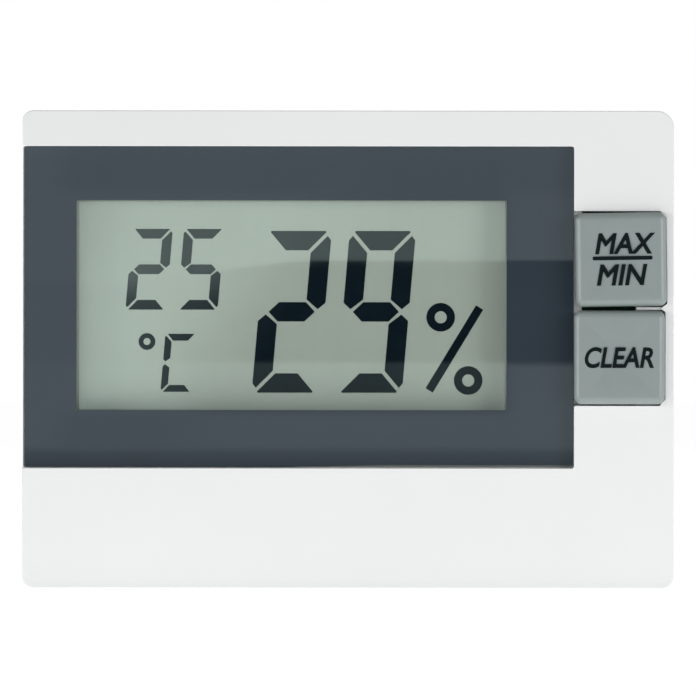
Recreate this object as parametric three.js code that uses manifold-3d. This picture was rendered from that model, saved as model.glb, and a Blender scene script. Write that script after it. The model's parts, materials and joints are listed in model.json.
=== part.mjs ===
// A pocket-size digital thermo-hygrometer: a two-part moulded case with a flush lens over a glass
// display, two keys beside it, a fold-out stand and a sliding cell door at the back, and the parts
// that it needs inside. Millimetres, +Z up, the front faces -Y and +X is the viewer's right.
// The origin is the middle of the case's bottom face.

import * as THREE from 'three';
import { mergeVertices } from 'three/addons/utils/BufferGeometryUtils.js';
import Module from 'manifold-3d';

const wasm = await Module();
wasm.setup();

// Case
const caseWidth = 58;
const caseHeight = 42.5;
const caseDepth = 15;
const frontShellDepth = 9;
const cornerRadius = 1.4;
const frontEdgeRadius = 0.3;
const backEdgeRadius = 1;
const sideWall = 1.4;
const frontWall = 1.5;
const backWall = 1.5;
const lipDepth = 1.2;
const lipThickness = 0.8;

// Clearances
const slipGap = 0.12;
const screwGap = 0.12;
const pivotGap = 0.08;
const partGap = 0.3;

// Lens, the printed border behind it and its tape
const lensThickness = 1;
const lensLeftInset = 0.12;
const lensRightMargin = 9;
const lensTopMargin = 3.28;
const lensBottomMargin = 10.8;
const lensCornerRadius = 0.4;
const lensEdgeBevel = 0.1;
const borderLeft = 4.68;
const borderRight = 5.87;
const borderTop = 4.69;
const borderBottom = 5.03;
const printInset = 0.06;
const printInsetBelow = 0.32;
const maskThickness = 0.06;
const tapeThickness = 0.14;
const tapeInset = 0.5;
const seatFloor = 1;
const seatBedMargin = 1.2;
const windowMargin = 0.6;
const windowCornerRadius = 1;

// Glass display
const glassThickness = 0.7;
const glassMargin = 1.5;
const glassTopMargin = 1.2;
const contactLedge = 2.4;
const polariserThickness = 0.2;
const polariserInset = 0.4;
const crystalThickness = 0.06;
const segmentRelief = 0.02;
const sealWidth = 0.6;
const reflectorThickness = 0.3;
const glassGap = 0.15;
const frameWall = 0.75;
const frameLip = 1;
const zebraHeight = 2.4;
const zebraWidth = 1.4;
const zebraEndInset = 1.8;
const zebraInset = 0.2;

// Digits on the display, drawn for a view of this width and height and fitted to the real one
const artWidth = 38.35;
const artHeight = 18.7;
const digitSlant = Math.tan(THREE.MathUtils.degToRad(4.4));
const segmentGap = 0.31;
const segmentCornerCut = 0.28;
const largeStroke = 1.65;
const largeDigitGap = 1.7;
const largeDigitWidth = 5.85;
const largeDigitHeight = 14.37;
const largeBottomMargin = 1.59;
const largeLeftMargin = 15.73;
const smallDigitWidth = 3;
const smallDigitGap = 1.36;
const smallDigitHeight = 7.18;
const smallStroke = 0.9;
const smallSegmentGap = 0.2;
const smallLeftMargin = 4.38;
const smallBottomMargin = 8.95;
const unitHeight = 5.18;
const unitWidth = 2.5;
const unitStroke = 0.64;
const unitLeftMargin = 7.5;
const unitBottomMargin = 1.62;
const degreeRadius = 0.76;
const degreeHole = 0.33;
const degreeFromUnit = 1.42;
const percentRingRadius = 1.27;
const percentRingHole = 0.56;
const percentRingSpan = 2.5;
const percentRingRise = 5.64;
const percentRightMargin = 3.43;
const percentBottomMargin = 2.66;
const percentSlashWidth = 0.71;
const percentSlashRun = 4.49;
const percentSlashRise = 7.4;

// Keys and the domes under them
const keyProud = 0.8;
const keyHeight = 8.35;
const keySpacing = 0.36;
const keyGap = 0.15;
const keyTravel = 0.6;
const keyStopGap = 0.15;
const keyCornerRadius = 0.9;
const keyEdgeRadius = 0.45;
const keyRim = 0.53;
const keyLedgeWidth = 2.49;
const keyLedgeDepth = 1.5;
const keyBayDrop = 0.09;
const keyBayCornerRadius = 0.4;
const keyGuideDepth = 1.4;
const keyGuideWall = 1.2;
const keyStemHeight = 5;
const keyStemGap = 0.28;
const keyHook = 0.8;
const keyHookGap = 0.05;
const domeBaseRadius = 3.4;
const domeSkirtRadius = 2.7;
const domeTopRadius = 1.8;
const domeWall = 0.35;
const pillRadius = 1.1;
const pillThickness = 0.4;
const padRadius = 1.6;
const padThickness = 0.05;

// Circuit board and what is soldered to it
const boardThickness = 1;
const boardSideGap = 0.8;
const boardScrewEdge = 0.3;
const boardScrewFromBoss = 4.7;
const boardScrewRadius = 0.8;
const boardScrewHeadRadius = 1.3;
const boardScrewHeadHeight = 0.8;
const boardScrewLength = 3.6;
const boardBossRadius = 1.5;
const chipCoverRadius = 4.2;
const chipCoverHeight = 1.3;
const chipCoverOffset = { x: -5, z: -1.4 };
const sensorWidth = 7;
const sensorHeight = 9.5;
const sensorDepth = 2.2;
const sensorSlotDepth = 0.6;
const sensorSlots = 4;
const sensorFromEnd = 6.8;
const sensorFromTop = 11.3;
const beadRadius = 1;
const beadStandoff = 2.2;
const leadWidth = 0.35;
const leadSpacing = 1;
const beadFromEnd = 13.8;
const beadFromTop = 7.3;
const smallPartWidth = 1.25;
const smallPartLength = 2;
const capacitorDepth = 1.1;
const resistorDepth = 0.5;
const capacitorOffsets = [{ x: -14, z: -10 }, { x: 4, z: 4 }, { x: 4, z: -9 }];
const resistorOffsets = [{ x: -10, z: -10 }, { x: -12, z: 2 }, { x: 0, z: -10 }, { x: 5, z: -3 }];

// Button cell, its well, contacts and door
const cellRadius = 5.8;
const cellHeight = 5.4;
const cellWall = 0.25;
const cellCapRadius = 4.6;
const cellCapRise = 0.35;
const cellSealGap = 0.04;
const cellPlay = 0.1;
const cellPlaceZ = 24;
const wellGap = 0.6;
const wellWall = 0.8;
const wellFloor = 0.6;
const springSpace = 0.7;
const wellSideGap = 0.6;
const contactThickness = 0.25;
const contactWidth = 2.4;
const contactBoardGap = 0.05;
const contactTouchGap = 0.06;
const contactSlotGap = 0.2;
const doorThickness = 1.1;
const doorOverlap = 1;
const doorRail = 0.6;
const doorRailThickness = 0.6;
const doorBedWall = 1.2;
const gripCount = 4;
const gripPitch = 1.3;
const gripWidth = 0.5;
const gripDepth = 0.3;
const gripLength = 8;

// Stand leg and its hinge
const legWidth = 16;
const legThickness = 1.8;
const legBackInset = 0.1;
const legFloorGap = 0.2;
const legSideGap = 0.2;
const legFootInset = 0.6;
const legOpenAngle = THREE.MathUtils.degToRad(40);
const legStopGap = 0.05;
const legTopGap = 0.25;
const legPocketDepth = 0.8;
const legFrame = 2.2;
const hingeHeight = 19.8;
const hingePinRadius = 0.7;
const hingePinLength = 1.2;
const hingeEndGap = 0.15;
const legBedWall = 1;

// Keyhole for a wall screw, and the air slots over the sensor
const keyholeHeadRadius = 3.2;
const keyholeSlotRadius = 1.6;
const keyholeFromTop = 9.5;
const keyholeRise = 4.5;
const keyholeDepth = 4.5;
const keyholeSpace = 0.6;
const keyholeWall = 0.8;
const ventCount = 5;
const ventPitch = 2;
const ventWidth = 1;
const ventHeight = 7;

// Case screws
const caseScrewRadius = 1;
const caseScrewHeadRadius = 1.75;
const caseScrewHeadHeight = 1.1;
const caseScrewLength = 8;
const caseScrewSink = 2.2;
const caseBossRadius = 1.7;
const caseBossWallGap = 0.5;
const casePostWall = 0.85;
const driveSlotWidth = 0.35;

// Facets
const fineSides = 36;
const roundSides = 20;
const screwSides = 12;
const cornerSteps = 4;
const edgeSteps = 2;
const through = 1;

// Places that follow from the sizes
const front = -caseDepth / 2;
const back = caseDepth / 2;
const parting = front + frontShellDepth;
const left = -caseWidth / 2;
const right = caseWidth / 2;
const inner = { x0: left + sideWall, x1: right - sideWall, z0: sideWall, z1: caseHeight - sideWall };

const lens = {
  x0: left + lensLeftInset,
  x1: right - lensRightMargin,
  z0: lensBottomMargin,
  z1: caseHeight - lensTopMargin,
};
const view = {
  x0: lens.x0 + borderLeft,
  x1: lens.x1 - borderRight,
  z0: lens.z0 + borderBottom,
  z1: lens.z1 - borderTop,
};
const lensBack = front + lensThickness;
const maskBack = lensBack + maskThickness;
const seatBack = maskBack + tapeThickness;
const bedBack = seatBack + seatFloor;

const frontGlass = {
  x0: view.x0 - glassMargin,
  x1: view.x1 + glassMargin,
  z0: view.z0 - glassMargin - contactLedge,
  z1: view.z1 + glassTopMargin,
};
const rearGlass = { ...frontGlass, z0: view.z0 - glassMargin };
const filmArea = grown(rearGlass, -polariserInset);
const polariserBack = bedBack + polariserThickness;
const frontGlassBack = polariserBack + glassThickness;
const crystalBack = frontGlassBack + crystalThickness;
const rearGlassBack = crystalBack + glassThickness;
const reflectorBack = rearGlassBack + reflectorThickness;
const boardFront = frontGlassBack + zebraHeight;
const boardBack = boardFront + boardThickness;

const caseBossX = inner.x1 - caseBossWallGap - caseBossRadius;
const caseBossLow = inner.z0 + caseBossWallGap + caseBossRadius;
const caseBossHigh = inner.z1 - caseBossWallGap - caseBossRadius;
const caseBossPlaces = [
  { x: -caseBossX, z: caseBossLow },
  { x: caseBossX, z: caseBossLow },
  { x: -caseBossX, z: caseBossHigh },
  { x: caseBossX, z: caseBossHigh },
];

const bayHeight = 2 * keyHeight + keySpacing + 2 * keyGap;
const bayMiddle = (lens.z0 + lens.z1) / 2 - keyBayDrop;
const bay = {
  x0: lens.x1 + slipGap,
  x1: right - keyRim,
  z0: bayMiddle - bayHeight / 2,
  z1: bayMiddle + bayHeight / 2,
};
const well = { ...bay, x1: bay.x1 - keyLedgeWidth };
const keyLedge = front + keyLedgeDepth;
const guideBack = front + frontWall + keyGuideDepth;
const keyCapBack = keyLedge - keyTravel - keyStopGap;
const keyCenterX = (well.x0 + well.x1) / 2;
const pillTop = boardFront - padThickness - keyTravel - contactTouchGap - pillThickness;
const domeTop = pillTop - domeWall;
const keyStemBack = domeTop - keyHookGap;
const keyBottoms = {
  clear: bay.z0 + keyGap,
  max_min: bay.z0 + keyGap + keyHeight + keySpacing,
};

const displayFrame = grown(frontGlass, glassGap + frameWall);
const lowScrewZ = displayFrame.z0 - slipGap - boardBossRadius;
const highScrewZ = (displayFrame.z1 + inner.z1) / 2;
const boardScrewPlaces = [
  { x: view.x0, z: lowScrewZ },
  { x: keyCenterX, z: bay.z0 - boardBossRadius },
  { x: boardScrewFromBoss - caseBossX, z: highScrewZ },
  { x: caseBossX - boardScrewFromBoss, z: highScrewZ },
];
const board = {
  x0: inner.x0 + boardSideGap,
  x1: inner.x1 - boardSideGap,
  z0: lowScrewZ - boardBossRadius - boardScrewEdge,
  z1: inner.z1 - boardSideGap,
};
const chipCoverPlace = onBoard(chipCoverOffset);
const sensorPlace = { x: board.x0 + sensorFromEnd, z: board.z1 - sensorFromTop };
const beadPlace = { x: board.x0 + beadFromEnd, z: board.z1 - beadFromTop };

const wellRadius = cellRadius + wellGap;
const cellX = inner.x1 - wellSideGap - wellRadius - wellWall;
const doorInside = back - doorThickness;
const cellBack = doorInside - cellPlay;
const cellFront = cellBack - cellHeight;
const wellFloorBack = cellFront - springSpace;
const wellFloorFront = wellFloorBack - wellFloor;
const door = {
  x0: cellX - wellRadius - doorOverlap,
  x1: right,
  z0: cellPlaceZ - wellRadius - doorOverlap,
  z1: cellPlaceZ + wellRadius + doorOverlap,
};

const legBack = back - legBackInset;
const legFront = legBack - legThickness;
const legFloor = legFront - legFloorGap;
const hingeY = legBack - legThickness / 2;
const legHeel = (hingeY - legFloor - legStopGap - (legThickness / 2) * Math.cos(legOpenAngle))
  / Math.sin(legOpenAngle);
const legSwing = Math.hypot(legThickness / 2, legHeel);

const keyholeZ = caseHeight - keyholeFromTop;

function onBoard(offset) {
  return { x: (board.x0 + board.x1) / 2 + offset.x, z: (board.z0 + board.z1) / 2 + offset.z };
}

function grown(area, by) {
  return { x0: area.x0 - by, x1: area.x1 + by, z0: area.z0 - by, z1: area.z1 + by };
}

// Solids

function solid(geometry) {
  geometry.deleteAttribute('normal');
  geometry.deleteAttribute('uv');
  const welded = mergeVertices(geometry, 1e-4);
  return new wasm.Manifold(new wasm.Mesh({
    numProp: 3,
    vertProperties: new Float32Array(welded.attributes.position.array),
    triVerts: new Uint32Array(welded.index.array),
  }));
}

function block(area, y0, y1) {
  const geometry = new THREE.BoxGeometry(area.x1 - area.x0, y1 - y0, area.z1 - area.z0);
  geometry.translate((area.x0 + area.x1) / 2, (y0 + y1) / 2, (area.z0 + area.z1) / 2);
  return solid(geometry);
}

function roundedOutline(area, radius) {
  const outline = new THREE.Shape();
  outline.absarc(area.x1 - radius, area.z0 + radius, radius, -Math.PI / 2, 0);
  outline.absarc(area.x1 - radius, area.z1 - radius, radius, 0, Math.PI / 2);
  outline.absarc(area.x0 + radius, area.z1 - radius, radius, Math.PI / 2, Math.PI);
  outline.absarc(area.x0 + radius, area.z0 + radius, radius, Math.PI, Math.PI * 1.5);
  return outline;
}

// A flat outline drawn in X and Z and made thick from y0 to y1, with rounded front and back edges
function plateGeometry(outline, y0, y1, edge = 0, steps = edgeSteps) {
  const geometry = new THREE.ExtrudeGeometry(outline, {
    depth: y1 - y0 - 2 * edge,
    bevelEnabled: edge > 0,
    bevelThickness: edge,
    bevelSize: edge,
    bevelOffset: -edge,
    bevelSegments: steps,
    curveSegments: cornerSteps,
  });
  geometry.rotateX(Math.PI / 2);
  geometry.translate(0, y1 - edge, 0);
  return geometry;
}

function plate(...sizes) {
  return solid(plateGeometry(...sizes));
}

function polygon(points) {
  return new THREE.Shape(points.map(([x, z]) => new THREE.Vector2(x, z)));
}

function rod(place, radius, y0, y1, sides = roundSides) {
  const geometry = new THREE.CylinderGeometry(radius, radius, y1 - y0, sides);
  geometry.translate(place.x, (y0 + y1) / 2, place.z);
  return solid(geometry);
}

function crossRod(x0, x1, y, z, radius) {
  const geometry = new THREE.CylinderGeometry(radius, radius, x1 - x0, roundSides);
  geometry.rotateZ(Math.PI / 2);
  geometry.translate((x0 + x1) / 2, y, z);
  return solid(geometry);
}

// A turned solid: points are [radius, distance] from y0, counted forwards (-Y) or backwards (+Y)
function turned(points, place, y0, backwards = true, sides = roundSides) {
  const profile = points.map(([radius, distance]) => new THREE.Vector2(radius, distance));
  const geometry = new THREE.LatheGeometry(profile, sides);
  if (!backwards) {
    geometry.rotateZ(Math.PI);
  }
  geometry.translate(place.x, y0, place.z);
  return solid(geometry);
}

// A bent strip: path holds [along, y] pairs for its middle line, and turn lays it along X or Z
function bentStrip(path, width, place, alongZ) {
  const half = contactThickness / 2;
  const middle = path.map(([u, v]) => new THREE.Vector2(u, v));
  const sides = [1, -1].map((side) => middle.map((point, i) => {
    const before = middle[Math.max(i - 1, 0)];
    const after = middle[Math.min(i + 1, middle.length - 1)];
    const into = point.clone().sub(i > 0 ? before : after).normalize().multiplyScalar(i > 0 ? 1 : -1);
    const out = after.clone().sub(i < middle.length - 1 ? point : before).normalize();
    const mitre = into.clone().add(out).normalize();
    const reach = (side * half) / mitre.dot(into);
    return new THREE.Vector2(point.x - mitre.y * reach, point.y + mitre.x * reach);
  }));
  const geometry = new THREE.ExtrudeGeometry(
    new THREE.Shape([...sides[0], ...sides[1].reverse()]),
    { depth: width, bevelEnabled: false },
  );
  geometry.translate(0, 0, -width / 2);
  if (alongZ) {
    geometry.rotateY(-Math.PI / 2);
  }
  geometry.translate(place.x, 0, place.z);
  return solid(geometry);
}

function joined(solids) {
  return solids.reduce((all, next) => all.add(next));
}

function cut(body, tools) {
  return tools.reduce((rest, tool) => rest.subtract(tool), body);
}

// Group and materials

const group = new THREE.Group();
group.name = 'thermo_hygrometer';

const finishes = {
  whiteAbs: { color: 0xeceeee, roughness: 0.42, metalness: 0 },
  clearAcrylic: { color: 0xf4f7f8, roughness: 0.05, metalness: 0 },
  printedBorder: { color: 0x303a42, roughness: 0.5, metalness: 0 },
  tape: { color: 0xd8d8d0, roughness: 0.8, metalness: 0 },
  film: { color: 0xa9b3a8, roughness: 0.3, metalness: 0 },
  glass: { color: 0xdfe8e4, roughness: 0.05, metalness: 0 },
  crystal: { color: 0x101a1e, roughness: 0.4, metalness: 0 },
  seal: { color: 0xb9b9a8, roughness: 0.6, metalness: 0 },
  reflector: { color: 0x9aa699, roughness: 0.5, metalness: 0 },
  blackRubber: { color: 0x1c1c1e, roughness: 0.8, metalness: 0 },
  greyKey: { color: 0x8b9796, roughness: 0.5, metalness: 0 },
  clearRubber: { color: 0xb8bcb8, roughness: 0.6, metalness: 0 },
  board: { color: 0x1f6b45, roughness: 0.5, metalness: 0 },
  epoxy: { color: 0x151515, roughness: 0.3, metalness: 0 },
  ceramic: { color: 0xb08a62, roughness: 0.6, metalness: 0 },
  steel: { color: 0xc4c6c8, roughness: 0.3, metalness: 1 },
  nylon: { color: 0x33363a, roughness: 0.6, metalness: 0 },
  cellPaste: { color: 0x2a2a2c, roughness: 0.9, metalness: 0 },
  sensorWhite: { color: 0xe4e6e2, roughness: 0.6, metalness: 0 },
};

function addPart(name, body, finish) {
  const mesh = body.getMesh();
  const geometry = new THREE.BufferGeometry();
  geometry.setAttribute('position', new THREE.BufferAttribute(mesh.vertProperties, 3));
  geometry.setIndex(new THREE.BufferAttribute(mesh.triVerts, 1));
  geometry.computeVertexNormals();
  const part = new THREE.Mesh(geometry, new THREE.MeshStandardMaterial(finishes[finish]));
  part.name = name;
  group.add(part);
}

const caseArea = { x0: left, x1: right, z0: 0, z1: caseHeight };
const everywhere = grown(caseArea, through);

// The opening in the face: the lens seat, open to the left, and the key bay to the right of it
function faceOpening() {
  const seat = grown(lens, slipGap);
  const seatRadius = lensCornerRadius;
  const radius = keyBayCornerRadius;
  const quarter = Math.PI / 2;
  const outline = new THREE.Shape();
  outline.moveTo(left - through, seat.z0);
  outline.lineTo(seat.x1 - seatRadius, seat.z0);
  outline.absarc(seat.x1 - seatRadius, seat.z0 + seatRadius, seatRadius, -quarter, 0);
  outline.absarc(bay.x0 + radius, bay.z0 - radius, radius, 2 * quarter, quarter, true);
  outline.absarc(bay.x1 - radius, bay.z0 + radius, radius, -quarter, 0);
  outline.absarc(bay.x1 - radius, bay.z1 - radius, radius, 0, quarter);
  outline.absarc(bay.x0 + radius, bay.z1 + radius, radius, -quarter, -2 * quarter, true);
  outline.absarc(seat.x1 - seatRadius, seat.z1 - seatRadius, seatRadius, 0, quarter);
  outline.lineTo(left - through, seat.z1);
  return outline;
}

// Front shell: the lens seat, the window behind it, the key bay with its guide, and the bosses
function frontShell() {
  const outside = plate(roundedOutline(caseArea, cornerRadius), front, back, frontEdgeRadius)
    .subtract(block(everywhere, parting, back + through));
  const keyGuide = {
    x0: well.x0 - keyGuideWall,
    x1: inner.x1,
    z0: bay.z0 - keyGuideWall,
    z1: bay.z1 + keyGuideWall,
  };
  const hollow = cut(block(inner, front + frontWall, parting + through), [
    block(grown(lens, seatBedMargin), front, bedBack),
    block(keyGuide, front, guideBack),
    ...caseBossPlaces.map((place) => rod(place, caseBossRadius, front, parting + 2 * through)),
    ...boardScrewPlaces.map((place) => rod(place, boardBossRadius, front, boardFront)),
  ]);
  const caseScrewTip = back - caseScrewSink - caseScrewLength;
  return cut(outside.subtract(hollow), [
    plate(faceOpening(), front - through, seatBack),
    plate(roundedOutline(grown(view, windowMargin), windowCornerRadius), front, bedBack + through),
    block(bay, seatBack - slipGap, keyLedge),
    block(well, seatBack - slipGap, guideBack + through),
    ...caseBossPlaces.map((place) => rod(
      place,
      caseScrewRadius + screwGap,
      caseScrewTip - partGap,
      parting + through,
      screwSides,
    )),
    ...boardScrewPlaces.map((place) => rod(
      place,
      boardScrewRadius + screwGap,
      boardBack - boardScrewLength - partGap,
      boardFront + through,
      screwSides,
    )),
  ]);
}

// Rear shell: the lip, screw posts, cell well, door rails, leg recess, keyhole and air slots
function rearShell() {
  const outside = plate(roundedOutline(caseArea, cornerRadius), front, back, backEdgeRadius)
    .subtract(block(everywhere, front - through, parting));
  const wellPlace = { x: cellX, z: cellPlaceZ };
  const doorBed = { ...grown(door, doorRail + slipGap + doorBedWall), x1: right };
  const legBed = {
    x0: -legWidth / 2 - legSideGap - hingePinLength - hingeEndGap - legBedWall,
    x1: legWidth / 2 + legSideGap + hingePinLength + hingeEndGap + legBedWall,
    z0: 0,
    z1: hingeHeight + legSwing + legTopGap + legBedWall,
  };
  const pocket = {
    x0: -keyholeHeadRadius - keyholeSpace,
    x1: keyholeHeadRadius + keyholeSpace,
    z0: keyholeZ - keyholeHeadRadius - keyholeSpace,
    z1: keyholeZ + keyholeRise + keyholeSlotRadius + keyholeSpace,
  };
  const postRadius = caseScrewHeadRadius + screwGap + casePostWall;
  const lipArea = grown(inner, -slipGap);
  const lipInside = grown(lipArea, -lipThickness);
  const lipRoot = block(everywhere, parting - through, parting + lipThickness)
    .subtract(block(lipInside, parting - 2 * through, back));
  const hollow = cut(block(inner, parting - through, back - backWall), [
    lipRoot,
    rod(wellPlace, wellRadius + wellWall, wellFloorFront, back, fineSides),
    block(doorBed, doorInside - slipGap - legBedWall, back),
    block(legBed, legFloor - legBedWall, back),
    block(grown(pocket, keyholeWall), back - keyholeDepth - keyholeWall, back),
    ...caseBossPlaces.flatMap((place) => [
      rod(place, postRadius, parting, back),
      block(cornerArea(place), parting, back),
    ]),
  ]);
  const lip = cut(block(lipArea, parting - lipDepth, parting + lipThickness / 2), [
    block(lipInside, parting - lipDepth - through, parting + lipThickness),
    ...caseBossPlaces.map((place) => rod(
      place,
      caseBossRadius + partGap,
      parting - lipDepth - through,
      parting,
    )),
  ]);
  const cellWell = rod(wellPlace, wellRadius + wellWall, wellFloorFront, parting + through, fineSides);
  const body = joined([outside.subtract(hollow), lip, cellWell]);

  const contactSlot = contactThickness + 2 * contactSlotGap;
  const negativeSlot = {
    x0: cellX - negativeReach() - contactSlot / 2,
    x1: cellX - negativeReach() + contactSlot / 2,
    z0: cellPlaceZ - contactWidth / 2 - contactSlotGap,
    z1: cellPlaceZ + contactWidth / 2 + contactSlotGap,
  };
  const positiveSlot = {
    x0: cellX - contactWidth / 2 - contactSlotGap,
    x1: cellX + contactWidth / 2 + contactSlotGap,
    z0: cellPlaceZ + positiveReach() - contactSlot / 2,
    z1: cellPlaceZ + positiveReach() + contactSlot / 2,
  };
  const doorRecess = { ...grown(door, slipGap), x1: right + through };
  const railRecess = { ...grown(door, doorRail + slipGap), x0: door.x0 - slipGap, x1: right + through };
  const legRecess = {
    x0: -legWidth / 2 - legSideGap,
    x1: legWidth / 2 + legSideGap,
    z0: -through,
    z1: hingeHeight + legSwing + legTopGap,
  };
  const socketReach = legRecess.x1 + hingePinLength + hingeEndGap - legSideGap;
  return cut(body, [
    rod(wellPlace, wellRadius, wellFloorBack, back, fineSides),
    block(negativeSlot, wellFloorFront - through, wellFloorBack + through),
    block(positiveSlot, wellFloorFront - through, wellFloorBack + through),
    block(doorRecess, doorInside - slipGap, back + through),
    block(railRecess, doorInside - slipGap, doorInside + doorRailThickness + slipGap),
    block(legRecess, legFloor, back + through),
    crossRod(-socketReach, socketReach, hingeY, hingeHeight, hingePinRadius + pivotGap),
    block(pocket, back - keyholeDepth, back - backWall),
    rod({ x: 0, z: keyholeZ }, keyholeHeadRadius, back - backWall - slipGap, back + through, fineSides),
    rod({ x: 0, z: keyholeZ + keyholeRise }, keyholeSlotRadius, back - backWall - slipGap, back + through),
    block(
      { x0: -keyholeSlotRadius, x1: keyholeSlotRadius, z0: keyholeZ, z1: keyholeZ + keyholeRise },
      back - backWall - slipGap,
      back + through,
    ),
    ...ventSlots(),
    ...caseBossPlaces.flatMap((place) => [
      rod(place, caseScrewRadius + screwGap, parting - through, back, screwSides),
      rod(place, caseScrewHeadRadius + screwGap, back - caseScrewSink, back + through),
    ]),
  ]);
}

// The corner of the case behind a screw post
function cornerArea(place) {
  const outerX = place.x < 0 ? left : right;
  const outerZ = place.z < caseHeight / 2 ? 0 : caseHeight;
  return {
    x0: Math.min(place.x, outerX),
    x1: Math.max(place.x, outerX),
    z0: Math.min(place.z, outerZ),
    z1: Math.max(place.z, outerZ),
  };
}

function ventSlots() {
  return Array.from({ length: ventCount }, (_, i) => {
    const x = sensorPlace.x + (i - (ventCount - 1) / 2) * ventPitch;
    const slot = {
      x0: x - ventWidth / 2,
      x1: x + ventWidth / 2,
      z0: sensorPlace.z - ventHeight / 2,
      z1: sensorPlace.z + ventHeight / 2,
    };
    return block(slot, back - backWall - through, back + through);
  });
}

// Lens, border and tape
function lensPlate() {
  return plate(roundedOutline(lens, lensCornerRadius), front, lensBack, lensEdgeBevel, 1);
}

function borderPrint() {
  const area = { ...grown(lens, -printInset), z0: lens.z0 + printInsetBelow };
  return plate(roundedOutline(area, lensCornerRadius), lensBack, maskBack)
    .subtract(block(view, front, seatBack));
}

function lensTape() {
  const area = { ...grown(lens, -tapeInset), z0: lens.z0 + printInsetBelow + tapeInset };
  return block(area, maskBack, seatBack)
    .subtract(block(grown(view, windowMargin), front, bedBack));
}

// One digit of slanted segments, named a to g clockwise from the top with g in the middle
function digit(place, width, height, stroke, gap, lit) {
  const edge = gap / Math.SQRT2;
  const half = height / 2;
  const chamfer = segmentCornerCut * stroke / largeStroke;
  const shapes = {
    a: [
      [edge + chamfer * 2, height], [edge + chamfer, height - chamfer],
      [stroke + edge, height - stroke], [width - stroke - edge, height - stroke],
      [width - edge - chamfer, height - chamfer], [width - edge - chamfer * 2, height],
    ],
    b: [
      [width, height - edge - chamfer * 2], [width - chamfer, height - edge - chamfer],
      [width - stroke, height - stroke - edge], [width - stroke, half + stroke / 2 + edge],
      [width - stroke / 2, half + edge], [width, half + stroke / 3 + edge],
    ],
    g: [
      [stroke / 2 + edge, half], [stroke + edge, half + stroke / 2],
      [width - stroke - edge, half + stroke / 2], [width - stroke / 2 - edge, half],
      [width - stroke - edge, half - stroke / 2], [stroke + edge, half - stroke / 2],
    ],
  };
  const turnedOver = (points) => points.map(([u, v]) => [width - u, height - v]);
  const mirrored = (points) => points.map(([u, v]) => [width - u, v]);
  shapes.d = turnedOver(shapes.a);
  shapes.e = turnedOver(shapes.b);
  shapes.f = mirrored(shapes.b);
  shapes.c = mirrored(shapes.e);
  return [...lit].map((segment) => polygon(shapes[segment].map(([u, v]) => [
    place.x + u + v * digitSlant,
    place.z + v,
  ])));
}

function ring(x, z, radius, hole) {
  const outline = new THREE.Shape().absarc(x, z, radius, 0, Math.PI * 2);
  outline.holes.push(new THREE.Path().absarc(x, z, hole, 0, Math.PI * 2));
  return outline;
}

function percentSign() {
  const lower = { x: artWidth - percentRightMargin, z: percentBottomMargin };
  const upper = { x: lower.x - percentRingSpan, z: lower.z + percentRingRise };
  const middle = { x: (lower.x + upper.x) / 2, z: (lower.z + upper.z) / 2 };
  const length = Math.hypot(percentSlashRun, percentSlashRise);
  const along = [percentSlashRun / length, percentSlashRise / length];
  const corner = (a, b) => [
    middle.x + a * percentSlashRun / 2 - b * along[1] * percentSlashWidth / 2,
    middle.z + a * percentSlashRise / 2 + b * along[0] * percentSlashWidth / 2,
  ];
  return [
    ring(lower.x, lower.z, percentRingRadius, percentRingHole),
    ring(upper.x, upper.z, percentRingRadius, percentRingHole),
    polygon([corner(-1, 1), corner(-1, -1), corner(1, -1), corner(1, 1)]),
  ];
}

function litSegments() {
  const large = { x: largeLeftMargin, z: largeBottomMargin };
  const largeNext = { x: large.x + largeDigitWidth + largeDigitGap, z: large.z };
  const small = { x: smallLeftMargin, z: smallBottomMargin };
  const smallNext = { x: small.x + smallDigitWidth + smallDigitGap, z: small.z };
  const unit = { x: unitLeftMargin, z: unitBottomMargin };
  const smallSize = [smallDigitWidth, smallDigitHeight, smallStroke, smallSegmentGap];
  const largeSize = [largeDigitWidth, largeDigitHeight, largeStroke, segmentGap];
  return [
    ...digit(large, ...largeSize, 'abged'),
    ...digit(largeNext, ...largeSize, 'abfgcd'),
    ...digit(small, ...smallSize, 'abged'),
    ...digit(smallNext, ...smallSize, 'afgcd'),
    ...digit(unit, unitWidth, unitHeight, unitStroke, smallSegmentGap, 'afed'),
    ring(unit.x - degreeFromUnit, unit.z + unitHeight - degreeRadius, degreeRadius, degreeHole),
    ...percentSign(),
  ];
}

// The crystal layer is a thin sheet, with the lit segments standing up from its front
function crystalLayer() {
  const sheetFront = frontGlassBack + segmentRelief;
  const sheet = block(grown(view, glassMargin - sealWidth - partGap), sheetFront, crystalBack);
  const viewWidth = view.x1 - view.x0;
  const viewHeight = view.z1 - view.z0;
  const fit = Math.min(viewWidth / artWidth, viewHeight / artHeight);
  const segments = litSegments().map((outline) => {
    const geometry = plateGeometry(outline, frontGlassBack, crystalBack);
    geometry.scale(fit, 1, fit);
    geometry.translate(
      view.x0 + (viewWidth - fit * artWidth) / 2,
      0,
      view.z0 + (viewHeight - fit * artHeight) / 2,
    );
    return solid(geometry);
  });
  return joined([sheet, ...segments]);
}

function crystalSeal() {
  return block(rearGlass, frontGlassBack, crystalBack)
    .subtract(block(grown(rearGlass, -sealWidth), front, back));
}

const zebra = {
  x0: frontGlass.x0 + zebraEndInset,
  x1: frontGlass.x1 - zebraEndInset,
  z0: frontGlass.z0 + zebraInset,
  z1: frontGlass.z0 + zebraInset + zebraWidth,
};

function glassFrame() {
  return cut(block(displayFrame, bedBack, boardFront), [
    block(grown(frontGlass, glassGap), bedBack - through, frontGlassBack),
    block(grown(rearGlass, glassGap), bedBack - through, reflectorBack),
    block(grown(rearGlass, -frameLip), bedBack - through, boardFront + through),
    block(grown(zebra, glassGap), bedBack - through, boardFront + through),
  ]);
}

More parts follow.
